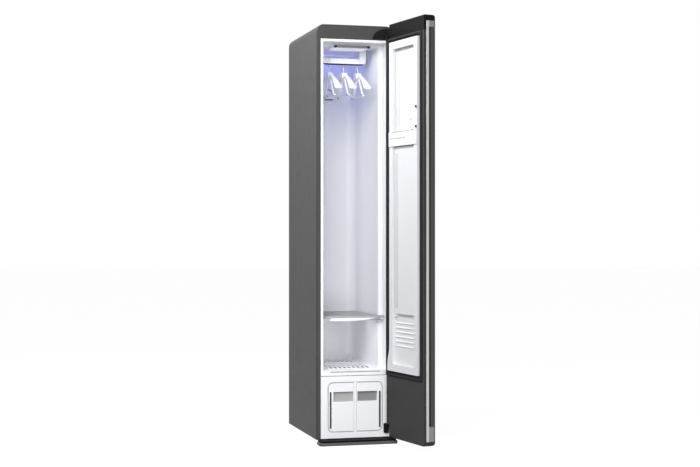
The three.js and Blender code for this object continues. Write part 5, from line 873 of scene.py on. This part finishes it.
def lamp_bar():
    """Grey bar in front of the lamp's bezel with a dark round cap at each end."""
    low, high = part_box("lamp_bezel")
    y = (low.y - FIT - LAMP_BAR_DEPTH, low.y - FIT)
    z = (low.z - LAMP_BAR_DROP, low.z + LAMP_BAR_HEIGHT)
    slot = SLOT_OF["lamp_bezel"]
    bar = block("lamp_bar", grown((low.x, high.x), -LAMP_BAR_END), y, z)
    dress(soften(bar, "firm"), "dark_grey_and_painted_shade", "cabinet", slot)
    length = LAMP_BAR_END - FIT
    ends = []
    for x in ((low.x, low.x + length), (high.x - length, high.x)):
        ends.append(rounded_block("end", x, z, LAMP_BAR_CORNER, "Y", y))
    dress(soften(merged("lamp_bar_ends", ends), "firm"), "door_grey", "cabinet", slot)


def shelf_ledges():
    """Each ledge in two finishes: a grey shoulder below the shelf's edge and a white rail above."""
    edge = span("shelf", 2)[0] - FIT
    for node in ("shelf_ledge_left", "shelf_ledge_right"):
        low, high = span(node, 2)
        rail = cut(copied(node, node + "_rail"), slab(node, (edge, high + FIT)))
        shoulder = cut(copied(node, node + "_shoulder"), slab(node, (low - FIT, edge + FIT)))
        stand_in(soften(rail, "crisp"), "liner_white", node)
        dress(soften(shoulder, "moulded"), "shelf_grey", "cabinet", SLOT_OF[node])


def grille_slot_shades():
    """Black sheet a little below the top of each floor grille: painted shade that makes its slots dark."""
    for node, name in (("lint_filter", "lint_slot_shade"), ("rear_grille", "air_slot_shade")):
        inset = SLOT_SHADE_INSET[node]
        top = span(node, 2)[1]
        z = (top - SLOT_SHADE_BELOW_TOP[0], top - SLOT_SHADE_BELOW_TOP[1])
        mesh = block(name, grown(span(node, 0), -inset), grown(span(node, 1), -inset), z)
        dress(soften(mesh, "hair", FEW_SEGMENTS), "black_and_slot_shade", BODY_OF[node], "part_white")


def nozzle():
    stand_in(smooth(copied("steam_pipe", "steam_nozzle")), "part_white", "steam_pipe")


# Hanger bar and hangers
def bar_pieces():
    """The bar, dark outside its cover and white inside it, and a gusset at its right arm."""
    bar_low, bar_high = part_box("hanger_bar")
    cover_low, cover_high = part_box("hanger_bar_cover")
    body = BODY_OF["hanger_bar"]
    dark_slot = SLOT_OF["hanger_bar"]
    white_slot = SLOT_OF["hanger_bar_cover"]
    room_y = grown((bar_low.y, bar_high.y), FIT)
    room = ((cover_low.x, cover_high.x), room_y, (cover_low.z, bar_high.z + FIT))
    core = cut(copied("hanger_bar", "bar_core"), block("tool", *room))
    stand_in(soften(core, "film"), "door_grey", "hanger_bar")
    inner = combine(copied("hanger_bar", "bar_inside"), "INTERSECT", [block("room", *room)])
    dress(soften(inner, "thin"), "liner_white", body, white_slot)
    y = (cover_low.y, cover_high.y)
    z = (cover_low.z + GUSSET_RISE, cover_high.z - FIT)
    gusset = block("bar_gusset", (GUSSET_START, cover_high.x - GUSSET_GAP), grown(y, -FIT), z)
    dress(soften(gusset, "film"), "liner_white", body, white_slot)
    edge = block("bar_edge", (cover_high.x + FIT, bar_high.x), y, z)
    dress(soften(edge, "film"), "door_grey", body, dark_slot)


def eased(points):
    """Rounds the bends of a chain of points, with its ends kept."""
    for _ in range(EASE_ROUNDS):
        cornered = [points[0]]
        for start, end in zip(points, points[1:]):
            start, end = Vector(start), Vector(end)
            cornered += [tuple(start.lerp(end, EASE_SHARE)), tuple(start.lerp(end, 1 - EASE_SHARE))]
        points = cornered + [points[-1]]
    return points


def hook_piece(i):
    """Wire hook on a straight stem."""
    node = f"hanger_hook_{i}"
    low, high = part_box(node)
    x, y = centre_of(node, 0, 1)
    radius = (high.y - low.y) / 2 - HOOK_WIRE
    centre = high.z - radius - HOOK_WIRE
    bend = [(x, y, centre - HOOK_STEM_SHARE * radius)]
    bend += [(x, u, v) for u, v in arc((y, centre), radius, *HOOK_ARC_DEGREES, HOOK_STEPS)]
    wire = tube(f"hook_{i}", [(x, y, low.z)] + eased(bend), HOOK_WIRE)
    stand_in(smooth(wire), "part_white", node)


def hanger_section(width, height):
    """Rounded section of a shoulder, slightly hollow below."""
    ring = []
    for i in range(SECTION_POINTS):
        angle = 2 * math.pi * i / SECTION_POINTS
        turn = math.cos(angle)
        across = math.copysign(abs(turn) ** SECTION_POWER, turn) * width / 2
        up = math.sin(angle) * height / 2
        if up < 0 and abs(turn) < HOLLOW_WIDTH_SHARE:
            up *= 1 - HOLLOW_SHARE * turn ** HOLLOW_POWER
        ring.append((across, up))
    return ring


def hanger_shoulders(name, x, y, spine, reach):
    """Two arms that droop and widen towards their tips."""
    rings = []
    for step in range(-HANGER_STATIONS, HANGER_STATIONS + 1):
        share = step / HANGER_STATIONS
        along = abs(share)
        fall = (along - HANGER_BOW_SHARE * math.sin(math.pi * along)) * HANGER_FALL
        width = HANGER_NECK[0] + (HANGER_TIP[0] - HANGER_NECK[0]) * along ** HANGER_FLARE_POWER
        height = HANGER_NECK[1] + (HANGER_TIP[1] - HANGER_NECK[1]) * along
        section = hanger_section(width, height)
        rings.append([(x + u, y + share * reach, spine - fall + v) for u, v in section])
    return loft(name, rings)


def hanger_middle(x, y, top, bar_z):
    """Head, two struts and the trouser bar."""
    head_z = (top - HANGER_HEAD[1], top)
    head_x = round_about(x, HANGER_HEAD_WIDTH / 2)
    head_y = round_about(y, HANGER_HEAD[0])
    pieces = [rounded_block("head", head_y, head_z, HANGER_HEAD_CORNER, "X", head_x)]
    strut_top = head_z[0] + HANGER_STRUT / 2
    inner, outer = HANGER_STRUT_SPREAD
    for side in (-1, 1):
        outline = [
            (y + side * (inner - HANGER_STRUT), strut_top),
            (y + side * inner, strut_top),
            (y + side * (outer + HANGER_STRUT), bar_z),
            (y + side * outer, bar_z),
        ]
        pieces.append(prism("strut", outline, "X", round_about(x, HANGER_STRUT / 2)))
    ends = round_about(y, HANGER_ROD_REACH)
    pieces.append(lathe("rod", rod_profile(HANGER_ROD, ends), "Y", (x, bar_z), SMALL_SIDES))
    return pieces


def hanger_clips(i, x, y, bar_z):
    """Two grey clips on the trouser bar."""
    z = (bar_z - HANGER_CLIP_DROP, bar_z + HANGER_CLIP_RISE)
    clips = []
    for side in (-1, 1):
        clip_y = round_about(y + side * HANGER_CLIP_AT, HANGER_CLIP_HALF_Y)
        clips.append(block("clip", round_about(x, HANGER_CLIP_HALF_X), clip_y, z))
    piece = soften(merged(f"hanger_{i}_clips", clips), "soft")
    dress(piece, "shelf_grey", BODY_OF[f"hanger_body_{i}"], "shelf_grey")


def hanger_piece(i):
    node = f"hanger_body_{i}"
    low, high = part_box(node)
    x, y = centre_of(node, 0, 1)
    reach = (high.y - low.y) / 2 * HANGER_REACH_SHARE
    bar_z = low.z + HANGER_ROD
    arms = hanger_shoulders(f"hanger_{i}_shoulders", x, y, high.z - HANGER_HEAD[1] / 2, reach)
    joined(arms, *hanger_middle(x, y, high.z, bar_z))
    stand_in(soften(arms, "plain", FEW_SEGMENTS), "liner_white", node)
    hanger_clips(i, x, y, bar_z)


# Fragrance dish
def fragrance_dish():
    """Round dish with a rolled rim and a small hub."""
    low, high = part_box("fragrance_case")
    centre = centre_of("fragrance_case", 0, 2)
    radius = (high.x - low.x) / 2
    roll = low.y + DISH_ROLL
    floor = high.y - DISH_FLOOR
    hub_floor = high.y - DISH_HUB_FLOOR
    profile = [(0, high.y), (radius, high.y), (radius, roll)]
    turn = arc((0, 0), DISH_ROLL, 0, 90, DISH_ROLL_STEPS)
    profile += [(radius - DISH_ROLL + u, roll - v) for u, v in turn]
    profile += [(radius - DISH_RIM, low.y), (radius - DISH_RIM, floor)]
    profile += [(DISH_HUB_RADIUS, floor), (DISH_HUB_RADIUS, hub_floor), (0, hub_floor)]
    stand_in(smooth(lathe("fragrance_dish", profile, "Y", centre)), "liner_white", "fragrance_case")
    return centre


def lid_marks(centre):
    """Dark ring and dash on the dish's cap."""
    face = span("fragrance_cap", 1)[0] + LID_SETBACK
    y = (face - MARK_RISE, face + FIT)
    inner, outer = MARK_RING
    profile = [(inner, y[1]), (inner, y[0]), (outer, y[0]), (outer, y[1]), (inner, y[1])]
    ring = lathe("ring", profile, "Y", centre)
    dash_z = (centre[1] - MARK_DASH_DROP[0], centre[1] - MARK_DASH_DROP[1])
    dash = block("dash", round_about(centre[0], MARK_DASH_HALF), y, dash_z)
    marks = merged("lid_marks", [ring, dash])
    dress(smooth(marks), "smoked", BODY_OF["fragrance_cap"], "part_white")


# Lower front and tanks
def tank_panel():
    """Panel round the tanks, with a seam above it and a dark toe strip below."""
    low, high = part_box("lower_panel")
    toe_top = low.z + TOE_GAP
    panel = copied("lower_panel", "tank_panel")
    below = slab("lower_panel", (low.z - MERGE - FIT, toe_top))
    above = slab("lower_panel", (high.z - PANEL_SEAM, high.z + FIT))
    cut(panel, below, above)
    stand_in(soften(panel, "plain"), "liner_white", "lower_panel")
    toe = block("toe_strip", (low.x, high.x), (low.y + TOE_SETBACK, high.y), (low.z, toe_top - FIT))
    dress(soften(toe, "sheet", FEW_SEGMENTS), "black_and_slot_shade", "cabinet", "black_plastic")


def tank_gauge(node, side):
    """Dark sight glass beside a tank's outer edge."""
    front = span(node, 1)[0]
    outer = span(node, 0)[0 if side < 0 else 1]
    x = sorted(outer - side * inset for inset in GAUGE_INSET)
    y = (front - FIT, front + GAUGE_DEPTH)
    gauge = rounded_block(node + "_gauge", x, GAUGE_Z, GAUGE_CORNER, "Y", y)
    dress(soften(gauge, "film", FEW_SEGMENTS), "smoked", BODY_OF[node], "black_plastic")


def tank_grip_shade_sheet(node, side):
    """Grey sheet at the back of the opening for the fingers: painted shade of the opening."""
    front = span(node, 1)[0]
    x = sorted(side * place for place in GRIP_SHADE_SHEET_X)
    y = [front + depth for depth in GRIP_SHADE_SHEET_DEPTH]
    pad = rounded_block(node + "_grip_shade_sheet", x, GRIP_SHADE_SHEET_Z, GRIP_SHADE_SHEET_CORNER, "Y", y)
    dress(soften(pad, "small"), GRIP_SHADE[side], BODY_OF[node], "shelf_grey")


def tank_outline():
    """Grey seam along the outer edges of the tanks' faces, half of it on each tank."""
    x = (span("supply_tank", 0)[0] - TANK_FACE_GAP, span("drain_tank", 0)[1] + TANK_FACE_GAP)
    z = grown(span("supply_tank", 2), TANK_FACE_GAP)
    front = span("lower_panel", 1)[0]
    raised, base = front - SEAM_RISE, front - FILM_GAP
    profile = [(0, raised), (SEAM, raised), (SEAM, base), (0, base)]
    seam_x = grown(x, -SEAM_INSET)
    seam_z = grown(z, -SEAM_INSET)
    for node, side in (("supply_tank", -1), ("drain_tank", 1)):
        ring = swept_ring(node + "_seam", seam_x, seam_z, TANK_WINDOW_CORNER, profile, "Y")
        near = span(node, 0)[1 if side < 0 else 0]
        room_x = sorted((near, near + side * ROOM_REACH))
        room = block("room", room_x, round_about(front, OVERRUN), (0, z[1] + OVERRUN))
        combine(ring, "INTERSECT", [room])
        dress(smooth(ring), "seam_grey", BODY_OF[node], "shelf_grey")


def tank_pieces():
    tank_panel()
    for node, side in (("supply_tank", -1), ("drain_tank", 1)):
        tank_gauge(node, side)
        tank_grip_shade_sheet(node, side)
    tank_outline()


# Door
def door_box(node):
    """A node's lowest and highest corners in the closed door's own axes."""
    back = DOOR_PLACE.inverted()
    points = [back @ vertex.co for vertex in NODES[node].data.vertices]
    low = Vector([min(point[axis] for point in points) for axis in range(3)])
    high = Vector([max(point[axis] for point in points) for axis in range(3)])
    return low, high


def hung(piece):
    """Moves a piece that was drawn in the closed door's axes to the open door."""
    piece.data.transform(DOOR_PLACE)
    return piece


def door_seal():
    """Bellows seal with a soft bulb, led round the door's liner."""
    low, high = door_box("door_gasket")
    height = high.y - low.y
    foot = low.y + height * SEAL_FOOT_SHARE
    neck = low.y + height * SEAL_NECK_SHARE
    inset = SEAL_WIDTH * SEAL_NECK_INSET_SHARE
    bulb = []
    for i in range(1, SEAL_BULB_STEPS):
        angle = math.pi * i / SEAL_BULB_STEPS
        across = SEAL_WIDTH / 2 - SEAL_WIDTH * SEAL_BULB_HALF_SHARE * math.cos(angle)
        bulb.append((across, low.y + height / 2 + height / 2 * math.sin(angle)))
    profile = [(0, low.y), (0, foot), (inset, neck), *bulb]
    profile += [(SEAL_WIDTH - inset, neck), (SEAL_WIDTH, foot), (SEAL_WIDTH, low.y)]
    piece = swept_ring("door_seal", (low.x, high.x), (low.z, high.z), SEAL_CORNER, profile, "Y")
    stand_in(smooth(hung(piece)), "dark_rubber", "door_gasket")


def within_door(piece):
    """Rounds the door's long upper and lower corners across its thickness."""
    pane_low = door_box("door_glass")[0]
    frame_low, frame_high = door_box("door_frame")
    y = (pane_low.y, frame_high.y)
    z = (frame_low.z, frame_high.z)
    outer, inner = DOOR_OUTER_CORNER, DOOR_INNER_CORNER
    outline = arc((y[1] - inner, z[0] + inner), inner, -90, 0, DOOR_INNER_STEPS)
    outline += arc((y[1] - inner, z[1] - inner), inner, 0, 90, DOOR_INNER_STEPS)
    outline += arc((y[0] + outer, z[1] - outer), outer, 90, 180, DOOR_OUTER_STEPS)
    outline += arc((y[0] + outer, z[0] + outer), outer, 180, 270, DOOR_OUTER_STEPS)
    room = hung(prism("room", outline, "X", grown((frame_low.x, frame_high.x), outer)))
    return combine(piece, "INTERSECT", [room])


def silver_pieces():
    """Bright strip with a slight crown, and a duller cap at each end of the grip groove."""
    low, high = door_box("handle_trim")
    rail = door_box("handle_rail")
    inner = high.y - SILVER_STRIP
    strip = block("silver_strip", (low.x, high.x), (inner, high.y), (low.z, high.z))
    stand_in(soften(hung(strip), "plain"), "silver_trim", "handle_trim")
    for name, z in (("lower_cap", (low.z, rail[0].z - FIT)), ("upper_cap", (rail[1].z + FIT, high.z))):
        cap = block(name, (low.x, high.x), (low.y, inner - FIT / 2), z)
        dress(soften(within_door(hung(cap)), "plain"), "dull_silver", "door", SLOT_OF["handle_trim"])


def seal_base():
    """Dark sheet round the tray on the door's inner face, under the seal."""
    seal_low, seal_high = door_box("door_gasket")
    frame_high = door_box("door_frame")[1]
    trim_high = door_box("handle_trim")[1]
    tray_low, tray_high = door_box("door_liner")
    x = (trim_high.x + FIT, frame_high.x - SEAL_BASE_HINGE_GAP)
    z = (seal_low.z - SEAL_BASE_BELOW_SEAL, seal_high.z + FIT)
    face = (frame_high.y + FILM_GAP, frame_high.y + FIT - FILM_GAP)
    sheet = rounded_block("seal_base", x, z, SEAL_BASE_CORNER, "Y", face)
    hole_x = (tray_low.x + TRAY_RIM, tray_high.x - TRAY_RIM - TRAY_WAIST)
    hole_z = (tray_low.z + TRAY_RIM, tray_high.z - TRAY_RIM)
    cut(sheet, rounded_block("tool", hole_x, hole_z, SEAL_BASE_HOLE_CORNER, "Y", grown(face, FIT)))
    dress(hung(sheet), "seal_base", "door", "dark_rubber")


def hinge_edge():
    """Soft dark rib along the hinge side of the door's inner face."""
    seal_low = door_box("door_gasket")[0]
    high = door_box("door_frame")[1]
    start, end = high.x - RIB_START, high.x - RIB_END
    face = high.y + FILM_GAP
    crown = high.y + RIB_RISE
    outline = [(start, face), (start, crown), (end - RIB_RISE / 2, crown), (end, face)]
    rib = prism("hinge_edge", outline, "Z", (seal_low.z, high.z - RIB_HEAD))
    dress(soften(hung(rib), "plain"), "seal_base", "door", "dark_rubber")


def tray_lines():
    """Seams of the cross band and its latch."""
    band = door_box("door_liner")[1].y
    low, high = door_box("press_latch")
    flap_low, flap_high = door_box("press_flap")
    band_top = door_box("trouser_holder")[0].z - HOLDER_ABOVE_BAND
    face = (band + FILM_GAP, band + LINE_RISE)
    lines = [
        block("line", (flap_low.x, flap_high.x), face, (band_top - LINE, band_top)),
        block("line", (low.x - LINE, high.x), face, (high.z, high.z + LINE)),
        block("line", (low.x - LINE, low.x - FIT), face, (low.z, high.z)),
    ]
    dress(smooth(hung(merged("tray_lines", lines))), "seam_grey", "door", "liner_white")


def tray_shades():
    """Pale painted shade along the hinge side of the tray's recess, above the cross band and on the flap."""
    holder_low = door_box("trouser_holder")[0]
    flap_low, flap_high = door_box("press_flap")
    x = (flap_high.x - SHADE_WIDTH, flap_high.x - FIT)
    floor = holder_low.y + TRAY_FLOOR_LIFT
    upper_z = (holder_low.z, holder_low.z + UPPER_SHADE_HEIGHT)
    upper = block("upper_shade", x, (floor, floor + LINE_RISE), upper_z)
    dress(smooth(hung(upper)), "tray_shade", "door", "liner_white")
    face = (flap_high.y + FILM_GAP, flap_high.y + LINE_RISE)
    lower = block("lower_shade", x, face, grown((flap_low.z, flap_high.z), -LOWER_SHADE_INSET))
    dress(smooth(hung(lower)), "tray_shade", BODY_OF["press_flap"], "liner_white")


def tray_clips():
    """Two small dark clips on the tray's rim, beside the waist holder."""
    low, high = door_box("door_liner")
    start = low.x + CLIP_INSET
    y = (high.y + FILM_GAP, high.y + CLIP_RISE)
    clips = [block("clip", (start, start + CLIP_LENGTH), y, round_about(z, CLIP_HALF)) for z in CLIP_HEIGHTS]
    piece = soften(hung(merged("tray_clips", clips)), "small")
    dress(piece, "door_grey", "door", "black_plastic")


def tray_ribs():
    """Faint cross ribs on the tray's floor, below the pressing board."""
    low, high = door_box("door_liner")
    face = door_box("door_frame")[1].y - TRAY_FLOOR_BELOW_FACE
    x = (low.x + TRAY_RIM + FIT, high.x - TRAY_WAIST - TRAY_RIM - FIT)
    ribs = []
    for i in range(TRAY_RIB_COUNT):
        z = low.z + TRAY_RIB_START + i * TRAY_RIB_PITCH
        ribs.append(block("rib", x, (face, face + TRAY_RIB_HEIGHT), (z, z + TRAY_RIB)))
    piece = soften(hung(merged("tray_ribs", ribs)), "plain")
    dress(piece, "liner_white", "door", "liner_white")


# Pieces with the same shape as their node
def copies():
    """Stands a piece with rounded edges in for each node in the table of copies."""
    for node, (name, edge, finish) in COPIES.items():
        piece = copied(node, name)
        if node in ROUNDED_WITH_DOOR:
            within_door(piece)
        stand_in(soften(piece, edge), finish, node)


def inner_finishes():
    """The nodes inside the body keep their own meshes and get their finish."""
    for node in INNER_NODES:
        mesh = NODES[node].data
        mesh.materials.clear()
        mesh.materials.append(FINISH[SLOT_OF[node]])


# Surroundings
def light_path(tree):
    """1 for rays from the camera and those that mirror or glass sends on, else 0."""
    outputs = tree.nodes.new("ShaderNodeLightPath").outputs
    seen = math_node(tree, "MAXIMUM", outputs["Is Camera Ray"], outputs["Is Glossy Ray"])
    return math_node(tree, "MAXIMUM", seen, outputs["Is Transmission Ray"])


def world_light():
    world = bpy.data.worlds.new("studio")
    world.use_nodes = True
    tree = world.node_tree
    background = tree.nodes["Background"]
    background.inputs["Color"].default_value = (1, 1, 1, 1)
    level = tree.nodes.new("ShaderNodeMapRange")
    level.inputs["To Min"].default_value = WORLD_LIGHT
    level.inputs["To Max"].default_value = 1
    tree.links.new(light_path(tree), level.inputs["Value"])
    tree.links.new(level.outputs["Result"], background.inputs["Strength"])
    bpy.context.scene.world = world


def floor_finish():
    """Dull paint that also glows for the camera and for mirrored rays."""
    finish = bpy.data.materials.new("studio_floor")
    finish.use_nodes = True
    tree = finish.node_tree
    shader = tree.nodes["Principled BSDF"]
    set_inputs(shader, {"Base Color": (*tone(FLOOR_LEVEL), 1), "Roughness": FLOOR_ROUGHNESS,
                        "Specular IOR Level": 0})
    glow = tree.nodes.new("ShaderNodeEmission")
    lift = math_node(tree, "MULTIPLY", light_path(tree), FLOOR_LIFT)
    tree.links.new(lift, glow.inputs["Strength"])
    both = tree.nodes.new("ShaderNodeAddShader")
    tree.links.new(shader.outputs["BSDF"], both.inputs[0])
    tree.links.new(glow.outputs["Emission"], both.inputs[1])
    tree.links.new(both.outputs["Shader"], tree.nodes["Material Output"].inputs["Surface"])
    return finish


def floor():
    """Pale floor that looks white to the camera and keeps the shadow."""
    bm = bmesh.new()
    corners = [(-1, -1), (1, -1), (1, 1), (-1, 1)]
    bm.faces.new([bm.verts.new((x * FLOOR_REACH, y * FLOOR_REACH, 0)) for x, y in corners])
    piece = mesh_piece("studio_floor", bm)
    piece.data.materials.append(floor_finish())


def area_light(name, place, target, size, power, colour=(1, 1, 1)):
    lamp = bpy.data.lights.new(name, "AREA")
    lamp.shape = "RECTANGLE"
    lamp.size, lamp.size_y = size
    lamp.energy = power
    lamp.color = colour
    holder = placed(name, lamp)
    holder.location = place
    holder.rotation_euler = (Vector(target) - Vector(place)).to_track_quat("-Z", "Y").to_euler()
    holder.visible_camera = False


def inner_lights():
    """Soft light under the shelf, the ceiling lamp's light and the blue glow towards the back."""
    z = span("shelf", 2)[0] - SHELF_LAMP_GAP
    target = (0, SHELF_LAMP_Y, 0)
    area_light("under_shelf", (0, SHELF_LAMP_Y, z), target, SHELF_LAMP_SIZE, SHELF_LAMP_POWER)
    y = middle(span("lamp_lens", 1))
    z = span("lamp_lens", 2)[0] - CEILING_LAMP_GAP
    target = (0, y + CEILING_LAMP_AIM[0], z + CEILING_LAMP_AIM[1])
    area_light("chamber_lamp", (0, y, z), target, CEILING_LAMP_SIZE, CEILING_LAMP_POWER)
    y = middle(span("blue_lamp", 1))
    z = span("blue_lamp", 2)[0] - CEILING_LAMP_GAP
    target = (0, y + BLUE_LAMP_AIM_BACK, BLUE_LAMP_AIM_HEIGHT)
    area_light("blue_glow", (0, y, z), target, BLUE_LAMP_SIZE, BLUE_LAMP_POWER, BLUE_LAMP_COLOUR)


def lights():
    for name, (place, target, size, power) in STUDIO_LAMPS.items():
        area_light(name, place, target, size, power)
    inner_lights()


def camera():
    lens = bpy.data.cameras.new("camera")
    lens.lens = CAMERA_LENS
    lens.shift_y = CAMERA_SHIFT
    holder = placed("camera", lens)
    holder.location = CAMERA_PLACE
    holder.rotation_euler = (math.pi / 2, 0, CAMERA_TURN)
    bpy.context.scene.camera = holder


camera()
world_light()
floor()
lights()
copies()
case_shell()
front_surround()
plate_pieces()
rear_sheet()
chamber()
lip_shadow()
lamp_bar()
shelf_ledges()
grille_slot_shades()
nozzle()
bar_pieces()
for number in HANGERS:
    hook_piece(number)
    hanger_piece(number)
lid_marks(fragrance_dish())
tank_pieces()
silver_pieces()
door_seal()
seal_base()
hinge_edge()
tray_lines()
tray_shades()
tray_clips()
tray_ribs()
inner_finishes()
bpy.context.scene.view_settings.view_transform = "Standard"
